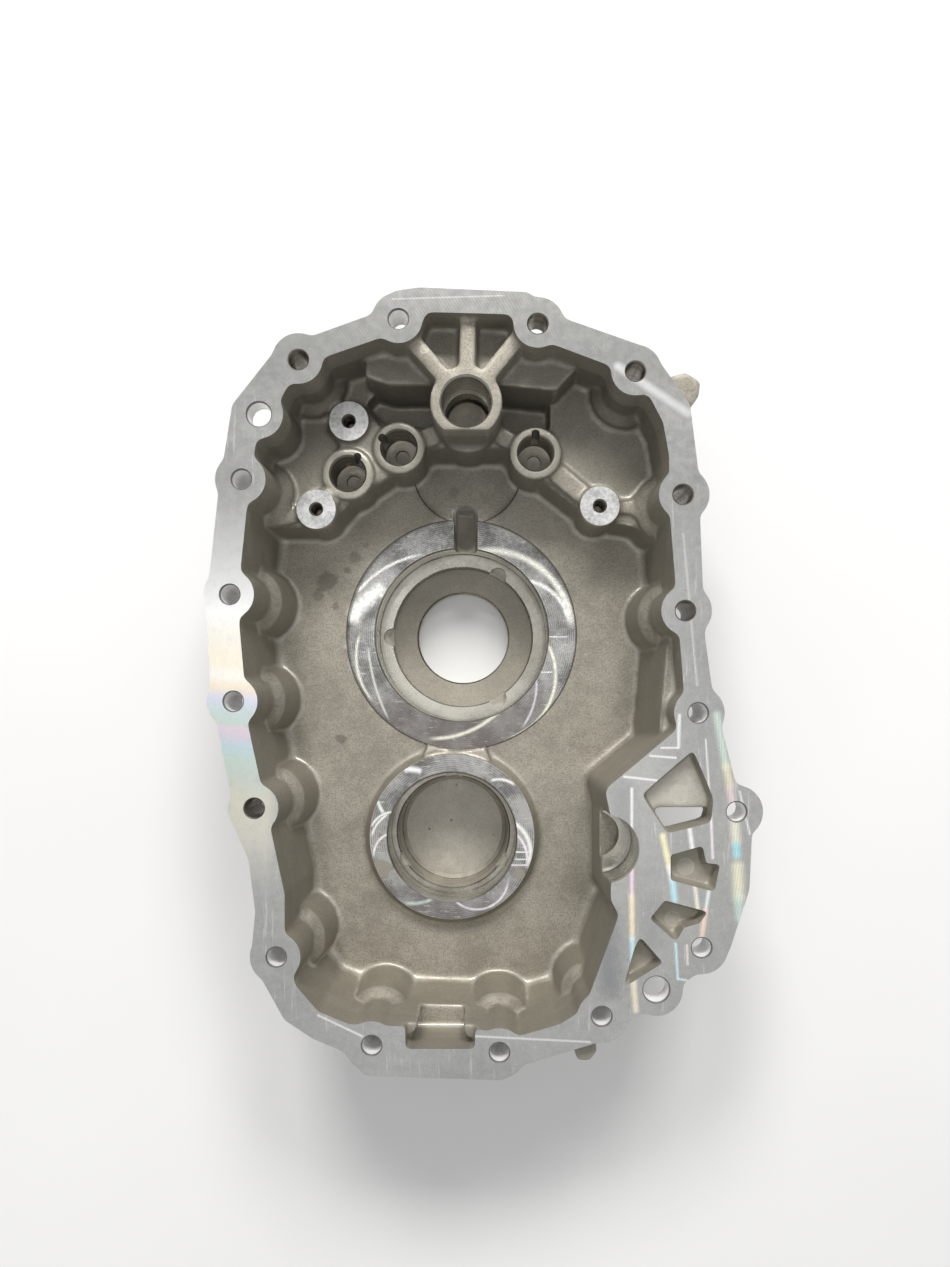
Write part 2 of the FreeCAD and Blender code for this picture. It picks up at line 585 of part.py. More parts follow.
def underside_cuts():
    """Return the hollows under the terrace and the shelf, less the columns of the bosses."""
    low_z = REAR_Z
    under_terrace = rounded_outline([
        (-84, 56), (-60, 56), (-46, 70), (-28, 82), (-12, 92), (20, 92), (34, 82), (64, 60),
        (84, 57), (84, 86), (66, 100), (50, 106), (-60, 106), (-80, 82)], 3.0)
    under_shelf = rounded_outline([(-34, 114), (44, 112), (38, 118), (20, 126), (-12, 126), (-30, 118)], 2.0)
    hollow = fuse_all([prism(under_terrace, low_z, LOW_POCKET_Z - FLOOR_THICKNESS),
                       prism(under_shelf, low_z, SHELF_Z - FLOOR_THICKNESS)])
    columns = [round_post(x, y, low_z, JOINT_Z, RAIL_OUTER_RADIUS) for x, y, _ in RAIL_BOSSES.values()]
    columns += [round_post(x, y, low_z, JOINT_Z, PAD_FOOT_RADIUS) for x, y in PADS.values()]
    columns.append(round_post(TOP_BOSS[0], TOP_BOSS[1], low_z, JOINT_Z, TOP_BOSS_RADIUS))
    columns += [round_post(x, y, low_z, JOINT_Z, POD_FOOT_RADIUS) for x, y in deep_bolts()]
    return hollow.cut(fuse_all(columns))


def housing():
    """Return the finished housing."""
    mouth = mouth_face()
    flange = flange_face()
    casting = body(mouth, flange)
    casting = casting.cut(hollow_inside(mouth))
    cuts = wrench_cuts() + flange_holes() + seat_cuts() + rail_cuts() + extension_cuts()
    cuts += flange_notch() + [underside_cuts()]
    casting = casting.cut(cuts)
    return casting.removeSplitter()


os.makedirs("parts", exist_ok=True)
tail_housing = housing()
tail_housing.exportStep("parts/tail_housing.step")
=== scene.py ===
"""Dresses the packed tail housing as a die casting with machined faces, seats and holes.

The casting is made the way a foundry makes it: a blank with machining stock is cast, which rounds
every edge, and then the joint face, the seats, the holes and the pads are cut crisp.
"""
import sys

import logging
import math
from dataclasses import dataclass, field
from enum import Enum
from functools import reduce
from typing import Any, Callable, Iterable, Sequence, Union

import bmesh
import bpy
import numpy as np
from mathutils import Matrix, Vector


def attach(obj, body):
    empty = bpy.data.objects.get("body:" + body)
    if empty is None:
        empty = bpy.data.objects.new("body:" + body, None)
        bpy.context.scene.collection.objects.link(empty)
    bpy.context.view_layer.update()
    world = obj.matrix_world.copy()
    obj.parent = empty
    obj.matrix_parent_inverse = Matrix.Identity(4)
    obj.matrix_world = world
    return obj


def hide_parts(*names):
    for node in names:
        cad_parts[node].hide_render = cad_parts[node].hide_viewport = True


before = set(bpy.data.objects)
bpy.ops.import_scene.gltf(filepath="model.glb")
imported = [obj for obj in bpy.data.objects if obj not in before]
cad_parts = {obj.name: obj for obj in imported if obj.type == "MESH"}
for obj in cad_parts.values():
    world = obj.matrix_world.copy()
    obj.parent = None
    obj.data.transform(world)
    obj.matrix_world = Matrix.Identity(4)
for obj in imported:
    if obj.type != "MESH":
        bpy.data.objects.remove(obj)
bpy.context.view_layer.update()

LOG = logging.getLogger("tail_housing")
MM = 0.001
Point = tuple[float, float]
Band = tuple[float, float]
Colour = tuple[float, float, float]

JOINT_Z = 62.0
REAR_Z = -38.0
COARSE, MEDIUM, FINE = 24, 48, 96
WHITE: Colour = (1.0, 1.0, 1.0)


class Finish(Enum):
    """The finishes that a face of the housing can have, in the order of its material slots."""

    CAST = 0
    MILLED = 1
    MAIN_FACE = 2
    LOWER_FACE = 3
    BORE = 4
    PAD = 5
    SHADED_BORE = 6
    LIT_HOLE = 7


def joining(operation: str, meaning: str, swapped: bool = False) -> Callable[["Num", "Value"], "Num"]:
    """Return a method of Num that joins two numbers in one Math node.

    Args:
        operation: Blender's name for the operation.
        meaning: the docstring of the method.
        swapped: whether the other number comes first.

    Returns:
        The method.
    """
    def method(self: "Num", other: "Value") -> "Num":
        """Return the two numbers joined."""
        return self.math(operation, *((other, self) if swapped else (self, other)))

    method.__doc__ = meaning
    return method


class Num:
    """A number on a node's output socket, which can be added, multiplied and compared."""

    def __init__(self, maker: "Maker", socket: bpy.types.NodeSocket) -> None:
        """Keep the maker of the nodes and the socket that holds the number."""
        self.maker = maker
        self.socket = socket

    def math(self, operation: str, *values: Any) -> "Num":
        """Return the result of one Math node."""
        return Num(self.maker, self.maker.node("ShaderNodeMath", {"operation": operation}, values))

    __add__ = __radd__ = joining("ADD", "Return self + other.")
    __mul__ = __rmul__ = joining("MULTIPLY", "Return self * other.")
    __sub__ = joining("SUBTRACT", "Return self - other.")
    __rsub__ = joining("SUBTRACT", "Return other - self.", swapped=True)
    __truediv__ = joining("DIVIDE", "Return self / other.")
    at_most = joining("MINIMUM", "Return the smaller of two numbers.")
    at_least = joining("MAXIMUM", "Return the larger of two numbers.")
    above = joining("GREATER_THAN", "Return 1 where the number is more than another, else 0.")
    below = joining("LESS_THAN", "Return 1 where the number is less than another, else 0.")

    def size(self) -> "Num":
        """Return the number without its sign."""
        return self.math("ABSOLUTE", self)

    def wave(self) -> "Num":
        """Return the sine of the number."""
        return self.math("SINE", self)

    def ramp(self, low: float, high: float, start: float = 0.0, end: float = 1.0) -> "Num":
        """Return a smooth step from start to end while the number goes from low to high."""
        settings = {"interpolation_type": "SMOOTHSTEP"}
        return Num(self.maker, self.maker.node("ShaderNodeMapRange", settings, (self, low, high, start, end)))


Value = Union[Num, float]


def strongest(masks: Iterable[Num]) -> Num:
    """Return the largest of several masks at each point."""
    return reduce(Num.at_least, masks)


class TreeMaker:
    """Makes the nodes of one node tree."""

    def __init__(self, tree: bpy.types.NodeTree) -> None:
        """Keep the tree."""
        self.tree = tree

    def node(self, kind: str, settings: dict[str, Any], values: Any, out: Union[int, str] = 0) -> Any:
        """Make one node.

        Args:
            kind: Blender's name for the node type.
            settings: properties set before the sockets are filled.
            values: socket values or links, as a sequence or as a dict by socket name.
            out: which output socket is wanted.

        Returns:
            The wanted output socket.
        """
        made = self.tree.nodes.new(kind)
        for key, value in settings.items():
            setattr(made, key, value)
        pairs = values.items() if isinstance(values, dict) else enumerate(values)
        for key, value in pairs:
            if isinstance(value, Num):
                value = value.socket
            if isinstance(value, bpy.types.NodeSocket):
                self.tree.links.new(value, made.inputs[key])
            elif value is not None:
                made.inputs[key].default_value = value
        return made.outputs[out]

    def vector(self, operation: str, *values: Any) -> bpy.types.NodeSocket:
        """Return the vector result of one Vector Math node."""
        return self.node("ShaderNodeVectorMath", {"operation": operation}, values)

    def measure(self, operation: str, *values: Any) -> Num:
        """Return the single number that one Vector Math node finds."""
        return Num(self, self.node("ShaderNodeVectorMath", {"operation": operation}, values, "Value"))

    def parts(self, vector: bpy.types.NodeSocket) -> tuple[Num, Num, Num]:
        """Split a vector.

        Args:
            vector: the socket of the vector.

        Returns:
            Its X, Y and Z.
        """
        made = self.tree.nodes.new("ShaderNodeSeparateXYZ")
        self.tree.links.new(vector, made.inputs[0])
        return Num(self, made.outputs[0]), Num(self, made.outputs[1]), Num(self, made.outputs[2])


class Maker(TreeMaker):
    """Makes the nodes of one material."""

    def __init__(self, name: str) -> None:
        """Start an empty material.

        Args:
            name: the name of the material.
        """
        self.material = bpy.data.materials.new(name)
        self.material.use_nodes = True
        super().__init__(self.material.node_tree)
        self.tree.nodes.clear()
        self.place = self.node("ShaderNodeTexCoord", {}, (), "Object")

    def distance(self, centre: Sequence[float]) -> Num:
        """Return how far the surface point is from the axis along Z through a centre, in metres."""
        flat = self.vector("MULTIPLY", self.place, (1, 1, 0))
        return self.measure("DISTANCE", flat, (centre[0], centre[1], 0))

    def along(self, centre: Sequence[float], way: Sequence[float]) -> Num:
        """Return how far the surface point lies from a centre in a flat direction, in metres."""
        offset = self.vector("SUBTRACT", self.place, (centre[0], centre[1], 0))
        return self.measure("DOT_PRODUCT", offset, (way[0], way[1], 0))

    def bands(self, value: Num, low: float, high: float, stops: Sequence[tuple[float, Colour]]) -> Any:
        """Return the colour of a value that runs through a row of bands.

        Args:
            value: the number that picks the band.
            low: the value at the start of the row.
            high: the value at the end of the row.
            stops: each band as its value and its colour, in rising order.

        Returns:
            The colour socket.
        """
        made = self.tree.nodes.new("ShaderNodeValToRGB")
        self.tree.links.new(value.ramp(low, high).socket, made.inputs[0])
        elements = made.color_ramp.elements
        for at, colour in stops[1:-1]:
            elements.new((at - low) / (high - low)).color = (*colour, 1.0)
        elements[0].color = (*stops[0][1], 1.0)
        elements[-1].color = (*stops[-1][1], 1.0)
        return made.outputs["Color"]

    def from_segment(self, start: Point, end: Point) -> Num:
        """Return how far the surface point is from a straight line.

        Args:
            start: x and y of one end of the line, in mm.
            end: x and y of its other end, in mm.

        Returns:
            The distance in metres.
        """
        a = Vector((start[0] * MM, start[1] * MM, 0))
        run = Vector((end[0] * MM, end[1] * MM, 0)) - a
        way = tuple(run.normalized())
        offset = self.vector("SUBTRACT", self.vector("MULTIPLY", self.place, (1, 1, 0)), tuple(a))
        along = self.measure("DOT_PRODUCT", offset, way).at_least(0.0).at_most(run.length)
        nearest = self.node("ShaderNodeVectorMath", {"operation": "SCALE"}, {0: way, "Scale": along})
        return self.measure("DISTANCE", offset, nearest)

    def noise(self, scale: float, detail: float = 3.0, roughness: float = 0.55, stretch: Any = None) -> Num:
        """Return a smooth noise.

        Args:
            scale: waves per metre.
            detail: how many finer layers are added.
            roughness: how strong the finer layers are.
            stretch: how much faster it runs along each axis, or None.

        Returns:
            A value about 0.5.
        """
        place = self.place if stretch is None else self.vector("MULTIPLY", self.place, stretch)
        values = {"Vector": place, "Scale": scale, "Detail": detail, "Roughness": roughness}
        return Num(self, self.node("ShaderNodeTexNoise", {}, values))

    def cells(self, scale: float) -> Num:
        """Return the distance to the nearest point of a scattered set, in cells."""
        return Num(self, self.node("ShaderNodeTexVoronoi", {}, {"Vector": self.place, "Scale": scale}))

    def spots(self, scale: float, reach: Band, cloud: float, thick: Band) -> Num:
        """Return round spots that fade over a reach in cells, in the groups where a cloud is thick."""
        return self.cells(scale).ramp(*reach, 1.0, 0.0) * self.noise(cloud).ramp(*thick)

    def split(self) -> tuple[Num, Num, Num]:
        """Return the X, Y and Z of the surface point, in metres."""
        return self.parts(self.place)

    def facing_up(self) -> Num:
        """Return the Z part of the surface's normal."""
        return self.parts(self.node("ShaderNodeNewGeometry", {}, (), "Normal"))[2]

    def painted(self, name: str) -> Num:
        """Return a number stored on the mesh's points."""
        return Num(self, self.node("ShaderNodeAttribute", {"attribute_name": name}, (), "Fac"))

    def mix(self, factor: Value, low: Any, high: Any) -> bpy.types.NodeSocket:
        """Return the blend of two colours.

        Args:
            factor: 0 for the first colour, 1 for the second.
            low: the first, a colour or a socket.
            high: the second, a colour or a socket.

        Returns:
            The socket of the blend.
        """
        low, high = ((*c, 1.0) if isinstance(c, tuple) else c for c in (low, high))
        settings = {"data_type": "RGBA", "clamp_factor": True}
        return self.node("ShaderNodeMix", settings, {0: factor, 6: low, 7: high}, 2)

    def bump(self, height: Num, depth: float, strength: float) -> bpy.types.NodeSocket:
        """Return a normal for a height between 0 and 1 that stands depth metres high."""
        values = {"Strength": strength, "Distance": depth, "Height": height}
        return self.node("ShaderNodeBump", {}, values)

    def close(self, colour: Any, roughness: Any, metallic: float, normal: Any) -> bpy.types.Material:
        """Finish the material with its shader.

        Args:
            colour: base colour socket.
            roughness: roughness, a number or a Num.
            metallic: how metallic it is.
            normal: normal socket, or None.

        Returns:
            The finished material.
        """
        values = {"Base Color": colour, "Roughness": roughness, "Metallic": metallic, "Normal": normal}
        shader = self.node("ShaderNodeBsdfPrincipled", {}, values)
        output = self.tree.nodes.new("ShaderNodeOutputMaterial")
        self.tree.links.new(shader, output.inputs["Surface"])
        return self.material


@dataclass(frozen=True)
class Ring:
    """A thin circular line between two heights, in mm: a groove, or the print of an ejector pin."""

    x: float
    y: float
    radius: float
    width: float
    low: float
    high: float
    strength: float
    filled: float = 0.0

    def mask(self, make: Maker) -> Num:
        """Return where the line shows.

        Args:
            make: the maker of the material.

        Returns:
            The strength of the line, 0 away from it.
        """
        _, _, z = make.split()
        width, low, high = self.width * MM, self.low * MM, self.high * MM
        reach = make.distance((self.x * MM, self.y * MM)) - self.radius * MM
        line = reach.size().ramp(width * 0.4, width, self.strength, 0.0)
        line = line.at_least(reach.ramp(-width, 0.0, self.filled, 0.0))
        fade = 0.3 * MM
        return line * z.ramp(low, low + fade) * z.ramp(high, high + fade, 1.0, 0.0)


@dataclass(frozen=True)
class Stain:
    """A round patch with a ragged rim, in mm: an oil stain, or skin that the cutter missed."""

    x: float
    y: float
    radius: float
    strength: float

    def mask(self, make: Maker, wobble: Num, ragged: float, core: float,
             centre: Point = (0.0, 0.0)) -> Num:
        """Return where the patch shows.

        Args:
            make: the maker of the material.
            wobble: a number about 0.5 that makes the rim uneven.
            ragged: how uneven the rim is, as a share of the radius.
            core: the share of the radius that is fully covered.
            centre: the point that the patch's own place is measured from, in mm.

        Returns:
            The mask, from 0 to the strength of the patch.
        """
        place = ((centre[0] + self.x) * MM, (centre[1] + self.y) * MM)
        reach = make.distance(place) + (wobble - 0.5) * (self.radius * ragged * MM)
        return reach.ramp(self.radius * core * MM, self.radius * MM, self.strength, 0.0)


@dataclass(frozen=True)
class Streak:
    """A straight bright or tinted line of light on the milled face, in mm."""

    start: Point
    end: Point
    width: float
    colour: Colour
    strength: float

    def mask(self, make: Maker, wobble: Num) -> Num:
        """Return where the line shows, with a number about 0.5 that makes its edge uneven."""
        edge = make.from_segment(self.start, self.end) + (wobble - 0.5) * (self.width * 0.5 * MM)
        return edge.ramp(0.0, self.width * MM, self.strength, 0.0)


@dataclass(frozen=True)
class CastSkin:
    """The die-cast skin: warm grey, grainy, with lighter edges and fillets.

    Each Band is the stretch in metres over which a look fades in or out.
    """

    light: Colour = (0.43, 0.40, 0.335)
    dark: Colour = (0.30, 0.277, 0.225)
    pore: Colour = (0.15, 0.137, 0.11)
    # Painted shade tone for upright walls, the lower pockets and the seal bore's floor.
    wall: Colour = (0.28, 0.26, 0.212)
    # Painted shade tone for the upper region.
    upper_shade: Colour = (0.145, 0.136, 0.112)
    # Lighter tone for wear and painted highlight on edges and fillets, and for the pin prints.
    edge: Colour = (0.70, 0.68, 0.60)
    # Painted light tone for up-facing floors.
    lit_floor_tone: Colour = (0.64, 0.61, 0.545)
    # Oil stains and pits, and painted shade in the oil slot.
    oil: Colour = (0.10, 0.09, 0.073)
    stains: tuple[Stain, ...] = (
        Stain(-66.0, 26.0, 5.5, 0.55), Stain(-70.0, 19.0, 3.5, 0.45), Stain(-52.0, 38.0, 3.5, 0.4),
        Stain(-59.0, -51.0, 3.0, 0.5), Stain(30.0, -110.0, 4.0, 0.25), Stain(-48.0, -20.0, 5.0, 0.2),
        Stain(-4.0, 70.0, 3.0, 0.3), Stain(-62.0, 14.0, 2.2, 0.4), Stain(-56.0, 31.5, 2.4, 0.45),
        Stain(-47.0, 44.0, 2.0, 0.35),
        Stain(-17.5, -99.6, 0.9, 0.7), Stain(-6.0, -95.0, 0.8, 0.6), Stain(15.7, -102.6, 0.8, 0.6),
        Stain(-3.4, -76.6, 0.7, 0.6),
    )
    # Painted shadow lines along the step round the main ring face and round the shield.
    grooves: tuple[Ring, ...] = (
        Ring(0.0, 0.0, 56.4, 0.55, -1.0, 4.0, 0.85),
        Ring(2.8, 81.0, 26.6, 0.5, 1.0, 4.0, 0.75),
    )
    pin_prints: tuple[Ring, ...] = (
        Ring(96.4, -72.5, 3.9, 0.5, 50.0, 60.0, 0.28, 0.2),
        Ring(99.4, -104.3, 3.5, 0.5, 50.0, 60.0, 0.28, 0.2),
        Ring(93.8, -127.1, 3.2, 0.5, 50.0, 60.0, 0.22, 0.12),
        Ring(-14.7, 121.3, 1.8, 0.3, 40.0, 60.0, 0.4, 0.2),
        Ring(2.7, 132.9, 1.8, 0.3, 40.0, 60.0, 0.3, 0.15),
    )
    upper_shade_y: Band = (0.040, 0.100)
    upper_shade_top: Band = (0.0465, 0.0490)
    matt_z: Band = (0.0475, 0.0495)
    lower_pockets: Band = (-0.089, -0.085)
    first_pocket: Band = (-0.050, -0.046)
    blind_floor: Band = (-0.0262, -0.0256)
    blind_top: Band = (-0.0215, -0.0195)
    seal_floor: Band = (-0.0264, -0.0258)
    slot_shade_line: tuple[Point, Point] = ((2.0, 49.0), (2.0, 58.0))
    step_shadow_tone: Colour = (0.02, 0.018, 0.014)

    def material(self) -> bpy.types.Material:
        """Return the material of the cast skin.

        Returns:
            The finished material.
        """
        make = Maker("cast_skin")
        cloud = make.noise(38.0, 4.0)
        blotch = make.noise(190.0, 5.0, 0.62)
        grain = make.noise(1300.0, 2.0, 0.7)
        speck = make.noise(620.0, 3.0, 0.6)
        tone = cloud * 0.45 + blotch * 0.35 + speck * 0.2
        colour = make.mix(tone.ramp(0.38, 0.62), self.dark, self.light)
        colour = make.mix(grain.ramp(0.45, 0.68, 0.0, 0.6), colour, self.pore)
        # Painted shade: the more upright a face, the more it is darkened toward the wall tone.
        shade = make.facing_up().size().ramp(0.25, 0.93, 0.5, 0.0)
        colour = make.mix(shade, colour, self.wall)
        _, y, z = make.split()
        # Painted shade: the upper region below the flange top is darkened, as the shadow of the top wall.
        upper_shade = y.ramp(*self.upper_shade_y, 0.0, 0.6) * z.ramp(*self.upper_shade_top, 1.0, 0.0)
        upper_shade = upper_shade * blotch.ramp(0.2, 0.6, 0.6, 1.0)
        colour = make.mix(upper_shade, colour, self.upper_shade)
        matt = z.ramp(*self.matt_z)
        level = make.facing_up().ramp(0.4, 0.8)
        lower = y.ramp(*self.lower_pockets, 1.0, 0.0)
        upper = (1.0 - lower) * y.ramp(*self.first_pocket, 1.0, 0.0)
        blind = z.ramp(*self.blind_floor) * z.ramp(*self.blind_top, 0.35, 0.0)
        # Painted light: up-facing floors of the upper pockets near the joint face, and the blind bore's
        # floor, are lightened.
        pale = (matt * upper * 0.72).at_least(blind) * level * blotch.ramp(0.2, 0.7, 0.65, 1.0)
        colour = make.mix(pale, colour, self.lit_floor_tone)
        # Painted shade: the lower pockets, most of all their floors, and the seal bore's floor are darkened
        # toward the wall tone.
        dim = (matt * lower * (level * 0.4 + 0.35)).at_least(z.ramp(*self.seal_floor, 0.5, 0.0))
        colour = make.mix(dim, colour, self.wall)
        bend = make.painted("bend")
        dull = 1.0 - (matt * 0.75).at_least(upper_shade * 1.2)
        # Edges and fillets are lightened by how sharply they bend either way: wear on edges, painted
        # highlight in the fillets at wall feet.
        wear_and_highlight = bend.size().ramp(0.1, 0.6, 0.0, 0.5) * dull
        colour = make.mix(wear_and_highlight, colour, self.edge)
        for stain in self.stains:
            colour = make.mix(stain.mask(make, blotch, 1.6, 0.6), colour, self.oil)
        pits = make.spots(420.0, (0.05, 0.16), 70.0, (0.52, 0.66))
        colour = make.mix(pits * 0.5, colour, self.oil)
        prints = strongest(mark.mask(make) for mark in self.pin_prints)
        colour = make.mix(prints, colour, self.edge)
        # Painted shade: the floor of the oil slot is darkened with the oil tone.
        slot_shade = make.from_segment(*self.slot_shade_line).ramp(0.0045, 0.0065, 0.65, 0.0)
        colour = make.mix(slot_shade, colour, self.oil)
        # Painted shadow: thin dark lines along small steps.
        for mark in self.grooves:
            colour = make.mix(mark.mask(make), colour, self.step_shadow_tone)
        height = grain * 0.5 + speck * 0.35 + blotch * 0.3 - pits * 0.4 - prints
        gloss = bend.size().ramp(0.08, 0.5, 0.0, 0.14) * dull
        roughness = blotch.ramp(0.3, 0.7, 0.42, 0.56) - gloss + matt * 0.08
        return make.close(colour, roughness, 0.4, make.bump(height, 0.0002, 0.55))


@dataclass(frozen=True)
class MilledFace:
    """The milled joint face: silver, mottled, scratched, with streaks and a faint rainbow bloom.

    Each Band is the stretch in metres over which a look fades in or out.
    """

    light: Colour = (0.57, 0.567, 0.548)
    dark: Colour = (0.38, 0.38, 0.37)
    top_shade_tone: Colour = (0.34, 0.34, 0.33)
    top_shade_y: Band = (0.085, 0.120)
    scratch_tone: Colour = (0.85, 0.85, 0.85)
    dent_tone: Colour = (0.9, 0.9, 0.9)
    cutter: Point = (-0.30, -0.05)
    feed_marks: float = 5200.0
    rainbow_reflection_x: Band = (-0.084, -0.074)
    rainbow_reflection_low_y: Band = (-0.125, -0.09)
    rainbow_reflection_high_y: Band = (0.035, 0.058)
    shades: tuple[Streak, ...] = (
        Streak((64.0, -126.0), (65.5, -154.0), 10.0, (0.24, 0.245, 0.26), 0.7),
        Streak((71.0, -72.0), (72.0, -98.0), 9.0, (0.30, 0.305, 0.315), 0.5),
        Streak((84.0, -120.0), (84.0, -134.0), 9.0, (0.31, 0.315, 0.325), 0.5),
    )
    reflection_streaks: tuple[Streak, ...] = (
        Streak((69.0, 112.0), (99.0, 92.0), 3.0, (1.0, 1.0, 0.98), 0.95),
        Streak((74.9, -69.6), (74.9, -104.0), 1.1, WHITE, 0.85),
        Streak((74.9, -104.0), (74.9, -116.0), 1.5, (1.0, 0.74, 0.86), 0.9),
        Streak((74.9, -116.0), (75.1, -134.0), 2.0, (1.0, 0.86, 0.64), 0.9),
        Streak((75.1, -134.0), (75.4, -143.0), 1.9, (0.66, 0.92, 1.0), 0.85),
        Streak((75.4, -148.0), (76.6, -165.0), 2.2, (1.0, 0.92, 0.72), 0.85),
        Streak((88.2, -89.8), (91.0, -103.0), 2.3, (1.0, 0.94, 0.62), 0.95),
        Streak((91.2, -103.6), (92.3, -109.0), 2.3, WHITE, 0.95),
        Streak((92.3, -109.0), (93.4, -117.5), 2.4, (0.58, 0.90, 0.98), 0.9),
        Streak((99.8, -86.8), (101.1, -96.3), 1.7, WHITE, 0.95),
        Streak((102.0, -111.0), (103.3, -121.5), 1.6, (1.0, 0.95, 0.80), 0.85),
        Streak((106.7, -48.5), (108.9, -80.0), 0.8, WHITE, 0.7),
        Streak((108.9, -80.0), (109.7, -99.3), 1.1, (1.0, 0.93, 0.97), 0.9),
        Streak((108.3, -112.0), (106.6, -122.0), 1.4, (0.92, 1.0, 1.0), 0.85),
        Streak((106.6, -122.0), (105.0, -133.5), 1.9, (1.0, 0.78, 0.66), 0.9),
        Streak((111.5, -38.0), (115.5, -60.0), 3.0, (0.80, 0.98, 0.86), 0.7),
        Streak((115.5, -60.0), (117.2, -68.0), 3.0, (1.0, 0.93, 0.70), 0.8),
        Streak((117.2, -70.0), (118.9, -80.0), 3.0, (0.98, 0.82, 0.80), 0.8),
        Streak((118.9, -82.0), (119.8, -92.0), 3.6, (1.0, 0.97, 0.80), 0.85),
        Streak((119.8, -94.0), (120.2, -98.0), 3.2, (0.50, 0.90, 0.95), 0.9),
        Streak((120.4, -103.0), (121.0, -116.0), 4.4, (1.0, 0.96, 0.74), 0.85),
        Streak((121.0, -117.0), (121.4, -125.0), 3.6, (0.74, 0.94, 0.84), 0.7),
        Streak((121.3, -70.9), (125.6, -89.0), 0.9, (0.90, 0.97, 1.0), 0.8),
        Streak((93.8, -136.3), (94.7, -151.3), 1.0, (0.66, 0.92, 1.0), 0.85),
        Streak((94.7, -151.3), (98.5, -152.0), 0.8, (0.80, 0.96, 1.0), 0.85),
        Streak((98.6, -137.0), (98.9, -145.0), 1.0, (1.0, 0.86, 0.78), 0.8),
        Streak((82.8, -55.4), (93.8, -56.3), 0.8, WHITE, 0.85),
        Streak((71.7, -64.4), (85.5, -66.0), 0.9, WHITE, 0.85),
        Streak((87.6, -52.0), (95.1, -52.0), 0.8, WHITE, 0.85),
        Streak((95.4, -38.0), (95.0, -51.5), 1.2, WHITE, 0.85),
        Streak((97.0, 40.0), (103.0, -25.0), 1.0, (0.98, 0.98, 0.96), 0.35),
        Streak((-60.0, -167.0), (-41.0, -176.0), 0.9, WHITE, 0.75),
        Streak((7.5, -176.0), (57.0, -178.5), 0.8, WHITE, 0.65),
        Streak((-28.0, 141.0), (20.0, 142.5), 0.6, WHITE, 0.4),
    )
    rainbow_reflection: tuple[tuple[float, Colour], ...] = (
        (-0.130, (0.55, 0.55, 0.54)), (-0.105, (0.78, 0.76, 0.66)), (-0.090, (0.80, 0.78, 0.64)),
        (-0.078, (0.68, 0.74, 0.67)), (-0.066, (0.62, 0.77, 0.70)), (-0.058, (0.60, 0.76, 0.82)),
        (-0.0515, (0.76, 0.70, 0.80)), (-0.0455, (0.84, 0.70, 0.78)), (-0.0445, (0.62, 0.75, 0.68)),
        (-0.036, (0.64, 0.76, 0.76)), (-0.0285, (0.74, 0.76, 0.92)), (-0.0205, (0.98, 0.86, 0.66)),
        (-0.0135, (1.0, 0.99, 0.93)), (-0.006, (0.99, 0.91, 0.74)), (0.008, (0.93, 0.90, 0.80)),
        (0.022, (1.0, 1.0, 0.98)), (0.036, (0.80, 0.80, 0.79)), (0.060, (0.55, 0.55, 0.54)),
    )

    def material(self) -> bpy.types.Material:
        """Return the material of the milled joint face.

        Returns:
            The finished material.
        """
        make = Maker("milled_face")
        mottle = make.noise(260.0, 4.0, 0.65)
        fine = make.noise(1300.0, 2.0, 0.7)
        cloud = make.noise(22.0, 2.0)
        sweep = make.distance(self.cutter) * self.feed_marks
        mark = (sweep + cloud * 3.0).wave() * 0.5 + 0.5
        scratch = make.noise(60.0, 3.0, 0.7, (9.0, 0.6, 1.0)).ramp(0.60, 0.68)
        tone = mottle * 0.35 + fine * 0.3 + cloud * 0.35
        colour = make.mix(tone.ramp(0.25, 0.75), self.dark, self.light)
        colour = make.mix(scratch * 0.35, colour, self.scratch_tone)
        dents = make.spots(330.0, (0.04, 0.11), 45.0, (0.5, 0.6))
        colour = make.mix(dents * 0.5, colour, self.dent_tone)
        x, y, _ = make.split()
        # Painted reflection: a faint rainbow in bands on the left of the face.
        left = x.ramp(*self.rainbow_reflection_x, 0.85, 0.0)
        ends = y.ramp(*self.rainbow_reflection_low_y) * y.ramp(*self.rainbow_reflection_high_y, 1.0, 0.0)
        rainbow_band = y + x * 0.12 + 0.012 + (cloud - 0.5) * 0.006 + (fine - 0.5) * 0.004
        colour = make.mix(left * ends * (mottle + 0.5).at_most(1.0), colour,
                          make.bands(rainbow_band, self.rainbow_reflection[0][0], self.rainbow_reflection[-1][0], self.rainbow_reflection))
        # Painted shade: the face is darkened toward the top, where it reflects less light.
        colour = make.mix(y.ramp(*self.top_shade_y, 0.0, 0.75), colour, self.top_shade_tone)
        # Painted reflections: bright and tinted streaks of reflected light, and darker shades.
        masks: list[Num] = []
        for streak in self.shades + self.reflection_streaks:
            masks.append(streak.mask(make, mottle))
            colour = make.mix(masks[-1], colour, streak.colour)
        roughness = mottle.ramp(0.3, 0.7, 0.28, 0.32) - strongest(masks) * 0.06
        height = mark * 0.35 + fine * 0.4 + mottle * 0.12 - scratch * 0.4
        return make.close(colour, roughness, 0.82, make.bump(height, 0.00005, 0.5))


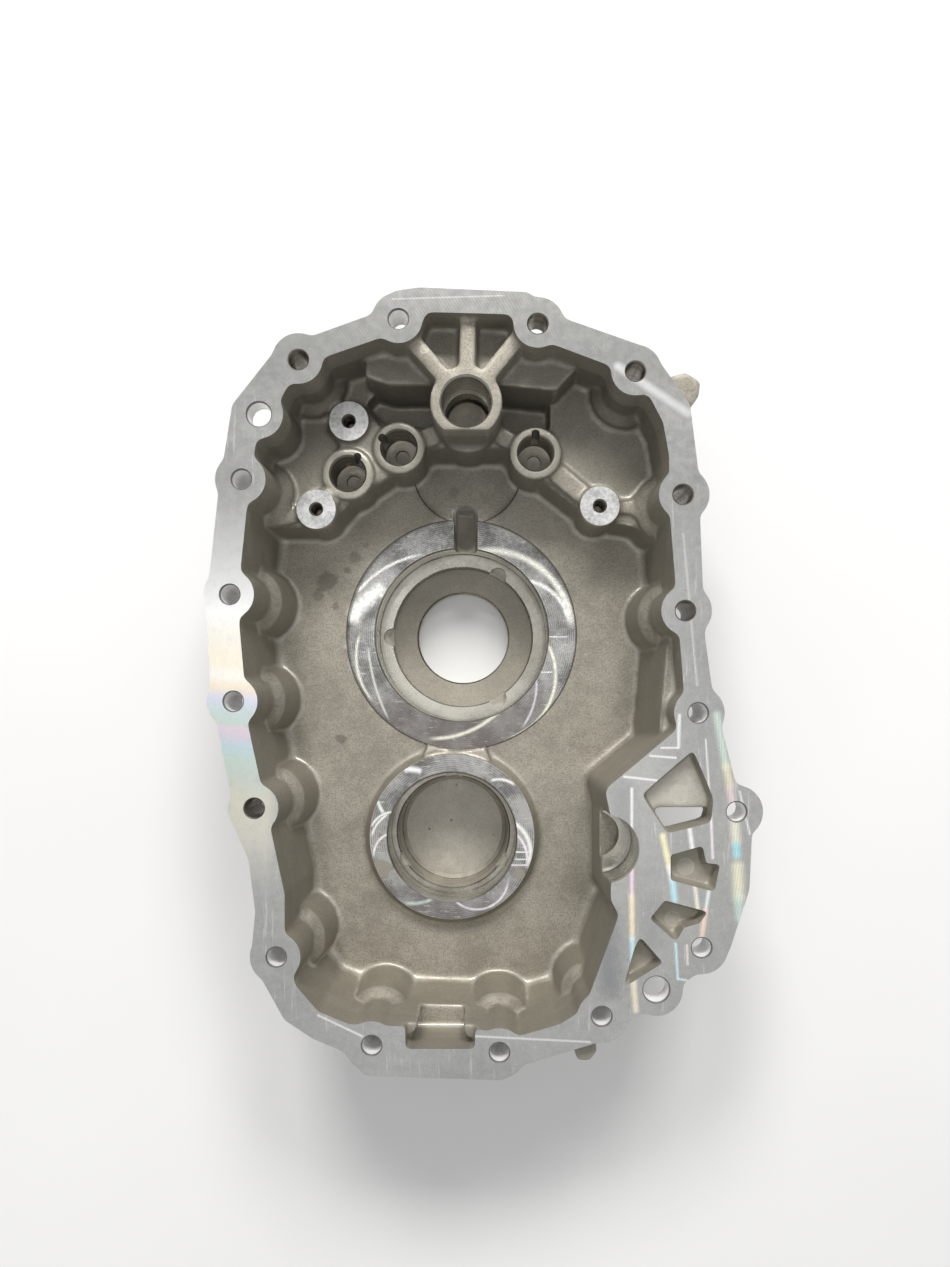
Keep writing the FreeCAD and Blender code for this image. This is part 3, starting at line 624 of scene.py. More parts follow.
@dataclass(frozen=True)
class Arc:
    """A curved line of light through three points, in mm from the centre of its ring."""

    start: Point
    middle: Point
    end: Point
    width: float
    colour: Colour = (0.97, 0.96, 0.92)
    strength: float = 0.9

    def circle(self) -> tuple[Vector, float]:
        """Find the circle through the three points.

        Returns:
            Its centre and its radius.
        """
        a, b, c = (Vector(point) for point in (self.start, self.middle, self.end))
        twice = 2 * (a.x * (b.y - c.y) + b.x * (c.y - a.y) + c.x * (a.y - b.y))
        x = (a.dot(a) * (b.y - c.y) + b.dot(b) * (c.y - a.y) + c.dot(c) * (a.y - b.y)) / twice
        y = (a.dot(a) * (c.x - b.x) + b.dot(b) * (a.x - c.x) + c.dot(c) * (b.x - a.x)) / twice
        centre = Vector((x, y))
        return centre, (a - centre).length

    def mask(self, make: Maker, ring: Point, wobble: Num) -> Num:
        """Return where the arc shows.

        Args:
            make: the maker of the material.
            ring: the centre of the ring, in mm.
            wobble: a number about 0.5 that makes the line uneven.

        Returns:
            The mask, from 0 to the strength of the arc.
        """
        centre, radius = self.circle()
        toward = Vector(self.middle) - centre
        half = max(toward.angle(Vector(point) - centre) for point in (self.start, self.end))
        place = ((ring[0] + centre.x) * MM, (ring[1] + centre.y) * MM)
        reach = make.distance(place)
        off = (reach - radius * MM).size() + (wobble - 0.5) * (self.width * 0.6 * MM)
        line = off.ramp(0.0, self.width * MM, self.strength, 0.0)
        facing = make.along(place, tuple(toward.normalized())) / reach
        return line * facing.ramp(math.cos(half * 1.15), math.cos(half * 0.75))


MAIN_ARCS = (
    Arc((-22.7, 39.2), (-38.1, 33.0), (-51.6, 21.3), 1.3),
    Arc((-38.1, 23.8), (-47.9, 16.4), (-55.3, 6.6), 6.0, (1.0, 1.0, 0.96), 0.95),
    Arc((7.4, 41.6), (38.2, 33.6), (49.2, 21.3), 2.6, (1.0, 0.99, 0.88)),
    Arc((35.1, 26.2), (43.1, 22.5), (52.9, 6.6), 1.7),
    Arc((42.5, -4.5), (44.3, -31.6), (30.8, -47.6), 1.3, (0.97, 0.96, 0.80), 0.8),
    Arc((36.9, -21.7), (35.7, -34.0), (32.0, -42.6), 0.9, (0.86, 0.78, 0.88), 0.7),
    Arc((18.5, -37.7), (3.7, -47.6), (-14.7, -51.2), 1.5, (0.98, 0.95, 0.80), 0.8),
    Arc((-51.6, -4.5), (-51.6, -16.8), (-44.9, -31.6), 1.2, (0.95, 0.95, 0.80), 0.7),
    Arc((-46.1, -7.0), (-43.0, -24.2), (-36.9, -40.2), 1.0, (0.88, 0.92, 0.84), 0.6),
    Arc((43.0, -0.8), (47.5, -0.9), (52.5, -0.8), 0.5, WHITE, 0.8),
    Arc((38.2, -18.3), (41.5, -18.4), (45.0, -18.3), 0.5, WHITE, 0.8),
)
LOWER_ARCS = (
    Arc((-38.9, 5.2), (-35.0, 10.0), (-30.7, 11.9), 0.9),
    Arc((-38.8, 0.8), (-36.0, 6.6), (-31.2, 10.9), 0.9),
    Arc((-37.9, -9.2), (-36.0, -2.5), (-32.2, 0.9), 0.9, (0.96, 0.93, 0.93)),
    Arc((-22.5, -31.9), (-15.8, -31.9), (-10.5, -30.4), 1.4, (0.72, 0.86, 0.78), 0.6),
    Arc((1.6, -30.9), (14.0, -34.9), (27.1, -21.8), 0.9, (0.93, 0.86, 0.93), 0.8),
    Arc((30.9, 6.2), (37.0, -1.6), (36.2, -14.1), 1.7),
    Arc((30.9, 1.3), (35.0, -4.0), (36.2, -12.0), 1.1, (0.97, 0.86, 0.93)),
    Arc((30.4, -7.2), (34.0, -7.3), (38.0, -7.2), 0.6),
    Arc((30.4, -10.7), (33.5, -10.8), (36.3, -10.7), 0.6, (0.80, 0.93, 0.95)),
    Arc((27.6, -13.5), (32.0, -13.6), (36.3, -13.5), 0.6, (0.97, 0.86, 0.93)),
    Arc((-23.0, 32.6), (-19.0, 32.8), (-14.8, 31.7), 2.4, (1.0, 1.0, 0.98)),
    Arc((-36.0, 17.5), (-34.8, 14.5), (-33.5, 12.0), 1.4, (0.88, 0.97, 0.92)),
    Arc((18.9, 27.3), (24.7, 27.8), (28.5, 26.4), 1.2),
)


@dataclass(frozen=True)
class TurnedFace:
    """A machined ring face: dark and mirror-like, with arcs of light left by the cutter."""

    name: str
    centre: Point
    arcs: tuple[Arc, ...]
    uncut: tuple[Stain, ...] = ()
    light: Colour = (0.44, 0.435, 0.42)
    dark: Colour = (0.15, 0.147, 0.142)
    low_tint: Colour = (0.17, 0.145, 0.135)
    low_reach: Band = (0.018, 0.045)
    dent_tone: Colour = (0.9, 0.89, 0.86)
    uncut_tone: Colour = (0.40, 0.37, 0.31)
    feed_marks: float = 6200.0

    def material(self) -> bpy.types.Material:
        """Return the material of the ring face.

        Returns:
            The finished material.
        """
        make = Maker(self.name)
        cloud = make.noise(60.0, 3.0)
        mottle = make.noise(420.0, 4.0, 0.65)
        centre = (self.centre[0] * MM, self.centre[1] * MM)
        rings = (make.distance(centre) * self.feed_marks + cloud * 2.0).wave() * 0.5 + 0.5
        tone = cloud * 0.6 + mottle * 0.3 + rings * 0.1
        colour = make.mix(tone.ramp(0.38, 0.62), self.dark, self.light)
        low = make.along(centre, (0.0, -1.0)).ramp(*self.low_reach, 0.0, 0.6)
        colour = make.mix(low, colour, self.low_tint)
        # Painted highlights: arcs of reflected light.
        lines = [arc.mask(make, self.centre, mottle) for arc in self.arcs]
        for arc, mask in zip(self.arcs, lines):
            colour = make.mix(mask, colour, arc.colour)
        scratch = make.noise(110.0, 3.0, 0.7, (1.0, 7.0, 1.0)).ramp(0.6, 0.68)
        dents = make.spots(520.0, (0.05, 0.13), 60.0, (0.5, 0.58))
        colour = make.mix((scratch * 0.35).at_least(dents * 0.6), colour, self.dent_tone)
        roughness = mottle.ramp(0.3, 0.7, 0.2, 0.32)
        for patch in self.uncut:
            mask = patch.mask(make, cloud, 1.0, 0.9, self.centre)
            colour = make.mix(mask, colour, self.uncut_tone)
            roughness = roughness + mask * 0.25
        height = rings * 0.4 + mottle * 0.35 + strongest(lines) * 0.3 - scratch * 0.5
        return make.close(colour, roughness, 0.9, make.bump(height, 0.00004, 0.5))


@dataclass(frozen=True)
class BoredWall:
    """The wall of a bored or drilled hole: warm grey with fine turning lines along its depth."""

    name: str
    light: Colour
    dark: Colour
    roughness: Band = (0.24, 0.40)
    metallic: float = 0.85
    rim: float = 0.0
    rim_shade_tone: Colour = (0.05, 0.046, 0.04)
    rim_shade_z: Band = ((JOINT_Z - 1.6) * MM, (JOINT_Z - 0.9) * MM)
    feed_marks: float = 9000.0

    def material(self) -> bpy.types.Material:
        """Return the material of the bored walls.

        Returns:
            The finished material.
        """
        make = Maker(self.name)
        _, _, z = make.split()
        cloud = make.noise(70.0, 3.0)
        mottle = make.noise(500.0, 3.0, 0.6)
        band = make.noise(420.0, 2.0, 0.6, (0.02, 0.02, 1.0))
        lines = (z * self.feed_marks + cloud * 2.0).wave() * 0.5 + 0.5
        tone = band * 0.65 + cloud * 0.27 + mottle * 0.08
        colour = make.mix(tone.ramp(0.35, 0.65), self.dark, self.light)
        # Painted shade: a dark band just below the joint face at the top of the wall.
        colour = make.mix(z.ramp(*self.rim_shade_z, 0.0, self.rim), colour, self.rim_shade_tone)
        roughness = cloud.ramp(0.3, 0.7, *self.roughness)
        height = lines * 0.1 + band * 0.35 + mottle * 0.08
        return make.close(colour, roughness, self.metallic, make.bump(height, 0.00004, 0.5))


@dataclass(frozen=True)
class PadFace:
    """The spot-faced pads: bright, with a fine swirl."""

    light: Colour = (0.72, 0.72, 0.71)
    dark: Colour = (0.42, 0.42, 0.41)

    def material(self) -> bpy.types.Material:
        """Return the material of the pads.

        Returns:
            The finished material.
        """
        make = Maker("pad_face")
        mottle = make.noise(600.0, 4.0, 0.65)
        cloud = make.noise(130.0, 3.0)
        colour = make.mix((mottle * 0.5 + cloud * 0.5).ramp(0.35, 0.62), self.dark, self.light)
        roughness = mottle.ramp(0.3, 0.7, 0.3, 0.45)
        return make.close(colour, roughness, 0.75, make.bump(mottle, 0.00005, 0.4))


def new_object(name: str, mesh: bpy.types.Mesh) -> bpy.types.Object:
    """Put a mesh in the scene.

    Args:
        name: the name of the object.
        mesh: its mesh.

    Returns:
        The new object.
    """
    made = bpy.data.objects.new(name, mesh)
    bpy.context.scene.collection.objects.link(made)
    return made


def applied(source: bpy.types.Object, name: str) -> bpy.types.Object:
    """Turn an object with modifiers into a plain one, and remove the first.

    Args:
        source: the object with modifiers.
        name: the name of the plain one.

    Returns:
        The plain object.
    """
    graph = bpy.context.evaluated_depsgraph_get()
    mesh = bpy.data.meshes.new_from_object(source.evaluated_get(graph), depsgraph=graph)
    bpy.data.objects.remove(source)
    return new_object(name, mesh)


def paint_bends(mesh: bpy.types.Mesh, full: float = 0.35, rounds: int = 3) -> None:
    """Store how sharply the skin bends at each point, from -1 in a foot to 1 on an edge.

    Args:
        mesh: the mesh that gets the point attribute "bend".
        full: the bend per mm that counts as 1.
        rounds: how often the values are averaged with their neighbours.
    """
    count = len(mesh.vertices)
    place = np.empty(count * 3)
    mesh.vertices.foreach_get("co", place)
    place = place.reshape(-1, 3) / MM
    normal = np.empty(count * 3)
    mesh.vertices.foreach_get("normal", normal)
    normal = normal.reshape(-1, 3)
    ends = np.empty(len(mesh.edges) * 2, dtype=np.int32)
    mesh.edges.foreach_get("vertices", ends)
    start, end = ends.reshape(-1, 2).T
    run = place[end] - place[start]
    length = np.maximum((run * run).sum(1), 0.04)
    share = np.bincount(start, minlength=count) + np.bincount(end, minlength=count)
    share = np.maximum(share, 1)
    fall = -(normal[start] * run).sum(1) / length, (normal[end] * run).sum(1) / length
    bend = (np.bincount(start, fall[0], count) + np.bincount(end, fall[1], count)) / share
    for _ in range(rounds):
        near = np.bincount(start, bend[end], count) + np.bincount(end, bend[start], count)
        bend = (bend + near / share) / 2
    bend = np.clip(2 * bend / full, -1.0, 1.0)
    mesh.attributes.new("bend", "FLOAT", "POINT").data.foreach_set("value", bend.astype(np.float32))


@dataclass
class Solid:
    """A closed solid in mm, built up piece by piece, with a finish for each face."""

    shape: bmesh.types.BMesh = field(default_factory=bmesh.new)

    def _face(self, corners: Sequence[bmesh.types.BMVert], finish: Finish) -> None:
        """Add one face."""
        self.shape.faces.new(corners).material_index = finish.value

    def turn(self, profile: Sequence[tuple[float, float, Finish]], centre: Point, steps: int) -> "Solid":
        """Add a solid of revolution about an axis along Z.

        Args:
            profile: radius and z from the bottom of the axis to its top, both ends on the axis, each
                with the finish of the stretch that begins there.
            centre: x and y of the axis.
            steps: facets round the axis.

        Returns:
            This solid.
        """
        rings = []
        for radius, z, _ in profile:
            count = 1 if radius == 0 else steps
            ring = []
            for step in range(count):
                angle = 2 * math.pi * step / steps
                x = centre[0] + radius * math.cos(angle)
                y = centre[1] + radius * math.sin(angle)
                ring.append(self.shape.verts.new((x * MM, y * MM, z * MM)))
            rings.append(ring)
        for low, high, (_, _, finish) in zip(rings, rings[1:], profile):
            for step in range(steps):
                after = (step + 1) % steps
                corners = [low[step % len(low)], low[after % len(low)]]
                corners += [high[after % len(high)], high[step % len(high)]]
                self._face(list(dict.fromkeys(corners)), finish)
        return self

    def post(self, centre: Point, radius: float, low: float, high: float, finish: Finish = Finish.CAST,
             steps: int = MEDIUM) -> "Solid":
        """Add a cylinder along Z and return this solid."""
        profile = [(r, z, finish) for r, z in ((0, low), (radius, low), (radius, high), (0, high))]
        return self.turn(profile, centre, steps)

    def loft(self, sections: Sequence[tuple[Sequence[Point], float]],
             finish: Finish = Finish.CAST) -> "Solid":
        """Add a solid through a row of outlines.

        Args:
            sections: each outline with its height, from the lowest up, all with as many corners.
            finish: the finish of all its faces.

        Returns:
            This solid.
        """
        new = self.shape.verts.new
        rings = [[new((x * MM, y * MM, z * MM)) for x, y in outline] for outline, z in sections]
        self._face(rings[0][::-1], finish)
        self._face(rings[-1], finish)
        for low, high in zip(rings, rings[1:]):
            for i in range(len(low)):
                j = (i + 1) % len(low)
                self._face([low[i], low[j], high[j], high[i]], finish)
        return self

    def prism(self, corners: Sequence[Point], low: float, high: float,
              finish: Finish = Finish.CAST) -> "Solid":
        """Add a straight solid over an outline and return this solid."""
        return self.loft([(corners, low), (corners, high)], finish)

    def finish(self, name: str, materials: Iterable[bpy.types.Material]) -> bpy.types.Object:
        """Turn the solid into an object with outward faces.

        Args:
            name: the name of the object.
            materials: the materials in the order of the finishes.

        Returns:
            The object.
        """
        bmesh.ops.recalc_face_normals(self.shape, faces=self.shape.faces)
        mesh = bpy.data.meshes.new(name)
        self.shape.to_mesh(mesh)
        self.shape.free()
        for material in materials:
            mesh.materials.append(material)
        return new_object(name, mesh)


def rectangle(left: float, front: float, right: float, back: float) -> list[Point]:
    """Return the outline of a rectangle, counter-clockwise."""
    return [(left, front), (right, front), (right, back), (left, back)]


def capsule(centre: Point, angle: float, length: float, width: float, steps: int = 8) -> list[Point]:
    """Return a slot outline that starts at a centre and ends round.

    Args:
        centre: where the slot starts.
        angle: its direction in degrees.
        length: from the centre to the middle of the round end.
        width: its full width.
        steps: points on the round end.

    Returns:
        The outline, counter-clockwise.
    """
    turn = math.radians(angle)
    points = [(0.0, width / 2), (0.0, -width / 2)]
    for step in range(steps + 1):
        a = -math.pi / 2 + math.pi * step / steps
        points.append((length + width / 2 * math.cos(a), width / 2 * math.sin(a)))
    c, s = math.cos(turn), math.sin(turn)
    return [(centre[0] + x * c - y * s, centre[1] + x * s + y * c) for x, y in points]


def inset(corners: Sequence[Point], distance: float) -> list[Point]:
    """Draw an outline in.

    Args:
        corners: the outline, clockwise.
        distance: how far in mm, outward where it is negative.

    Returns:
        The new outline.
    """
    points = [Vector(corner) for corner in corners]
    moved = []
    for before, here, after in zip(points[-1:] + points, points, points[1:] + points[:1]):
        first, second = (here - before).normalized(), (after - here).normalized()
        sides = Vector((first.y, -first.x)), Vector((second.y, -second.x))
        moved.append(tuple(here + (sides[0] + sides[1]) * (distance / (1 + sides[0].dot(sides[1])))))
    return moved


def rounded(corners: Sequence[Point], radius: float, steps: int = 5) -> list[Point]:
    """Return an outline with its corners rounded.

    Args:
        corners: the sharp outline.
        radius: the radius of the roundings, in mm.
        steps: points on each rounding.

    Returns:
        The rounded outline.
    """
    points = [Vector(corner) for corner in corners]
    curve = []
    for before, here, after in zip(points[-1:] + points, points, points[1:] + points[:1]):
        half = (before - here).angle(after - here) / 2
        reach = min(radius / math.tan(half), 0.45 * (before - here).length, 0.45 * (after - here).length)
        start = here + (before - here).normalized() * reach
        end = here + (after - here).normalized() * reach
        for step in range(steps):
            t = step / (steps - 1)
            curve.append(tuple(start * (1 - t) ** 2 + here * (2 * t * (1 - t)) + end * t ** 2))
    return curve


class Feature:
    """A machined or cored feature of the casting. By default it does nothing."""

    def stock(self, solid: Solid) -> None:
        """Add the metal that is cut away later."""

    def cut(self, solid: Solid) -> None:
        """Add what a tool turns, bores or faces away."""

    def core(self, solid: Solid) -> None:
        """Add what the foundry's core leaves open."""


def puller_notches(solid: Solid, centre: Point, angles: Sequence[float], reach: float,
                   shoulder_z: float) -> None:
    """Add the notches in a bearing shoulder that a puller reaches through.

    Args:
        solid: the solid that gets the notches.
        centre: the axis of the seat.
        angles: the direction of each notch in degrees.
        reach: from the axis to the middle of a notch's round end.
        shoulder_z: the height of the shoulder.
    """
    width, below, above = 9.0, 4.0, 1.0
    for angle in angles:
        solid.prism(capsule(centre, angle, reach, width), shoulder_z - below, shoulder_z + above)


@dataclass
class MainSeat(Feature):
    """The main bearing seat with its ring face, shoulder, output bore, oil slot and notches."""

    face_radius: float = 56.2
    bore_radius: float = 42.5
    shoulder_z: float = -19.0
    shoulder_radius: float = 35.6
    pocket_z: float = -31.0
    output_radius: float = 23.5
    floor_z: float = 3.0
    lead_in: float = 0.7
    past: float = 6.0
    slot_foot: tuple[Point, ...] = ((-2.6, 30), (6.6, 30), (6.4, 43), (-2.4, 43))
    slot_mouth: tuple[Point, ...] = ((-4.4, 30), (8.4, 30), (8.1, 62), (-4.1, 62))
    slot_z: float = -12.0
    notch_angles: tuple[float, ...] = (60, 180, 300)
    steps: int = 160

    def stock(self, solid: Solid) -> None:
        """Add the metal that is cut away later.

        Args:
            solid: the solid of the blank.
        """
        solid.post((0, 0), self.output_radius + 1.0, REAR_Z - 3.0, self.pocket_z)
        solid.post((0, 0), self.bore_radius + 3.0, self.shoulder_z - 5.0, self.floor_z, steps=FINE)
        solid.post((0, 0), self.face_radius + 0.8, -1.5, self.floor_z, steps=FINE)

    def cut(self, solid: Solid) -> None:
        """Add the turning of the bores, the shoulder and the ring face.

        Args:
            solid: the solid of the tools that turn and bore.
        """
        bored, cast, lead, top = Finish.BORE, Finish.CAST, self.lead_in, 14.0
        outlet, shoulder, bore = self.output_radius, self.shoulder_radius, self.bore_radius
        pocket_z, seat_z, low = self.pocket_z, self.shoulder_z, REAR_Z - self.past
        profile = [
            (0, low, bored), (outlet, low, bored), (outlet, pocket_z - lead, bored),
            (outlet + lead, pocket_z, cast), (outlet + lead, pocket_z + 2.5, cast),
            (shoulder, pocket_z + 4.5, bored), (shoulder, seat_z - 0.5, bored),
            (shoulder + 0.5, seat_z, bored), (bore + 0.4, seat_z, bored), (bore + 0.4, seat_z + 1.8, bored),
            (bore, seat_z + 2.2, bored), (bore, -lead, bored), (bore + lead, 0.0, Finish.MAIN_FACE),
            (self.face_radius, 0.0, bored), (self.face_radius, top, bored), (0, top, bored),
        ]
        solid.turn(profile, (0, 0), self.steps)

    def core(self, solid: Solid) -> None:
        """Add the cast oil slot that runs into the bore, and the notches."""
        solid.loft([(self.slot_foot, self.slot_z), (self.slot_mouth, self.floor_z)])
        puller_notches(solid, (0, 0), self.notch_angles, self.shoulder_radius + 0.5, self.shoulder_z)


@dataclass
class LowerSeat(Feature):
    """The lower bearing seat: a raised ring with a blind bore and puller notches."""

    centre: Point = (-4.4, -98.4)
    face_z: float = 10.0
    face_radius: float = 39.5
    bore_radius: float = 31.0
    shoulder_z: float = -8.0
    shoulder_radius: float = 28.0
    blind_z: float = -25.0
    blind_radius: float = 26.4
    lead_in: float = 0.7
    stock_height: float = 2.5
    past: float = 3.0
    notch_angles: tuple[float, ...] = (90, 210, 330)
    steps: int = 128

    def stock(self, solid: Solid) -> None:
        """Add the metal that is cut away later.

        Args:
            solid: the solid of the blank.
        """
        top = self.face_z + self.stock_height
        solid.post(self.centre, self.bore_radius + 2.0, self.shoulder_z - 4.0, top, steps=FINE)
        solid.post(self.centre, self.face_radius + 0.3, self.face_z - 1.5, top, steps=FINE)

    def cut(self, solid: Solid) -> None:
        """Add the turning of the bore, the shoulder and the rim.

        Args:
            solid: the solid of the tools that turn and bore.
        """
        bored, cast, lead = Finish.BORE, Finish.CAST, self.lead_in
        blind, shoulder, bore = self.blind_radius, self.shoulder_radius, self.bore_radius
        blind_z, seat_z, face_z = self.blind_z, self.shoulder_z, self.face_z
        rim, top = self.face_radius + self.past, self.face_z + 8.0
        profile = [
            (0, blind_z + 0.3, cast), (blind - 1.6, blind_z, cast), (blind, blind_z + 1.6, bored),
            (shoulder, seat_z - 0.6, bored), (shoulder + 0.6, seat_z, bored), (bore + 0.3, seat_z, bored),
            (bore + 0.3, seat_z + 1.6, bored), (bore, seat_z + 2.0, bored), (bore, face_z - lead, bored),
            (bore + lead, face_z, Finish.LOWER_FACE), (rim, face_z, bored), (rim, top, bored),
            (0, top, bored),
        ]
        solid.turn(profile, self.centre, self.steps)

    def core(self, solid: Solid) -> None:
        """Add the puller notches."""
        reach = self.shoulder_radius - 2.0
        puller_notches(solid, self.centre, self.notch_angles, reach, self.shoulder_z)


@dataclass
class RailBosses(Feature):
    """The selector rail bores with their oil grooves, and the stepped bore of the top boss."""

    bosses: tuple[tuple[float, float, float], ...] = (
        (-51.5, 72.5, 60.0), (-28.0, 84.5, 150.0), (35.0, 82.0, 90.0))
    top_z: float = 33.0
    radius: float = 8.0
    depth: float = 20.0
    groove_width: float = 3.8
    groove_reach: float = 8.9
    top_boss: Point = (3.5, 98.5)
    top_boss_z: float = 57.0
    top_radius: float = 10.9
    top_step_z: float = 35.0
    top_step_radius: float = 10.2
    top_floor_z: float = 24.0
    lead_in: float = 0.8
    steps: int = 64
    top_steps: int = 72

    def stock(self, solid: Solid) -> None:
        """Add the metal that is cut away later.

        Args:
            solid: the solid of the blank.
        """
        wall, under, short = 1.2, 1.0, 0.2
        for x, y, _ in self.bosses:
            solid.post((x, y), self.radius + wall, self.top_z - self.depth - under, self.top_z - short)
        low, high = self.top_floor_z - under, self.top_boss_z - short
        solid.post(self.top_boss, self.top_radius + wall, low, high)

    def cut(self, solid: Solid) -> None:
        """Add the bores.

        Args:
            solid: the solid of the tools that turn and bore.
        """
        dark, bored, lead = Finish.SHADED_BORE, Finish.BORE, self.lead_in
        bore, top, low = self.radius, self.top_z, self.top_z - self.depth
        profile = [
            (0, low - 1.6, dark), (3.2, low - 1.4, dark), (3.4, low, dark), (bore - 1.2, low, dark),
            (bore, low + 0.4, dark), (bore, top - lead, dark), (bore + lead, top, dark),
            (bore + lead, top + 6, dark), (0, top + 6, dark),
        ]
        for x, y, _ in self.bosses:
            solid.turn(profile, (x, y), self.steps)
        bore, step, top, low = self.top_radius, self.top_step_radius, self.top_boss_z, self.top_floor_z
        profile = [
            (0, low, dark), (step - 1.0, low, dark), (step, low + 1.0, dark), (step, self.top_step_z, bored),
            (bore, self.top_step_z, bored), (bore, top - lead, bored), (bore + lead, top, bored),
            (bore + lead, top + 4, bored), (0, top + 4, bored),
        ]
        solid.turn(profile, self.top_boss, self.top_steps)

    def core(self, solid: Solid) -> None:
        """Add the oil grooves in the rims of the rail bosses.

        Args:
            solid: the solid of the cores.
        """
        for x, y, angle in self.bosses:
            solid.prism(capsule((x, y), angle, self.groove_reach, self.groove_width),
                        self.top_z - self.depth + 4.0, self.top_z + 5.0)


@dataclass
class Pads(Feature):
    """The three spot-faced pads with their tapped holes."""

    places: tuple[Point, ...] = ((-66.0, 56.0), (-51.0, 96.5), (64.5, 57.5))
    top_z: float = 33.5
    radius: float = 8.6
    hole_radius: float = 2.5
    hole_depth: float = 14.0
    sink_radius: float = 3.3

    def stock(self, solid: Solid) -> None:
        """Add the metal that is cut away later."""
        for place in self.places:
            solid.post(place, self.radius + 0.4, self.top_z - 4.0, self.top_z + 2.0)

    def cut(self, solid: Solid) -> None:
        """Add the spot facing and the tapped holes.

        Args:
            solid: the solid of the tools that turn and bore.
        """
        dark, faced, hole = Finish.SHADED_BORE, Finish.PAD, self.hole_radius
        rim, top, low = self.radius + 3.0, self.top_z, self.top_z - self.hole_depth
        profile = [
            (0, low - 1.0, dark), (hole, low, dark), (hole, top - 0.9, dark), (self.sink_radius, top, faced),
            (rim, top, faced), (rim, top + 5.0, faced), (0, top + 5.0, faced),
        ]
        for place in self.places:
            solid.turn(profile, place, MEDIUM)


@dataclass
class Recess(Feature):
    """The half-round machined recess beside the wide machined area, with its cast niche."""

    centre: Point = (63.5, -95.5)
    radius: float = 14.7
    floor_z: float = 35.6
    niche: Point = (62.5, -93.0)
    niche_radius: float = 10.3
    niche_z: float = 29.6
    niche_steps: int = 64

    def cut(self, solid: Solid) -> None:
        """Add the bore of the recess.

        Args:
            solid: the solid of the tools that turn and bore.
        """
        low, high, bore = self.floor_z, JOINT_Z + 6, self.radius
        profile = [(0, low), (bore - 1.2, low), (bore, low + 1.0), (bore, high), (0, high)]
        solid.turn([(radius, z, Finish.BORE) for radius, z in profile], self.centre, FINE)

    def core(self, solid: Solid) -> None:
        """Add the niche."""
        low, high = self.niche_z, self.floor_z + 3.0
        solid.post(self.niche, self.niche_radius, low, high, steps=self.niche_steps)


@dataclass
class ReliefPockets(Feature):
    """The three small cast pockets of the wide machined area, with draft and a rounded foot."""

    outlines: tuple[tuple[Point, ...], ...] = (
        ((91.5, -98.0), (105.5, -94.0), (107.0, -101.5), (113.0, -102.0), (110.5, -114.0), (91.5, -109.0)),
        ((89.0, -117.5), (108.0, -122.5), (104.0, -127.5), (97.5, -129.5), (94.0, -135.5), (82.5, -125.5)),
        ((78.5, -133.0), (88.5, -144.5), (71.0, -155.5), (76.0, -138.0)),
    )
    depth: float = 6.8
    corner: float = 1.8

    def core(self, solid: Solid) -> None:
        """Add the pockets.

        Args:
            solid: the solid of the cores.
        """
        low = JOINT_Z - self.depth
        steps = ((2.3, low), (1.7, low + 0.25), (1.3, low + 0.8), (1.1, low + 1.6), (-0.2, JOINT_Z + 1.5))
        for outline in self.outlines:
            solid.loft([(rounded(inset(outline, reach), self.corner), z) for reach, z in steps])


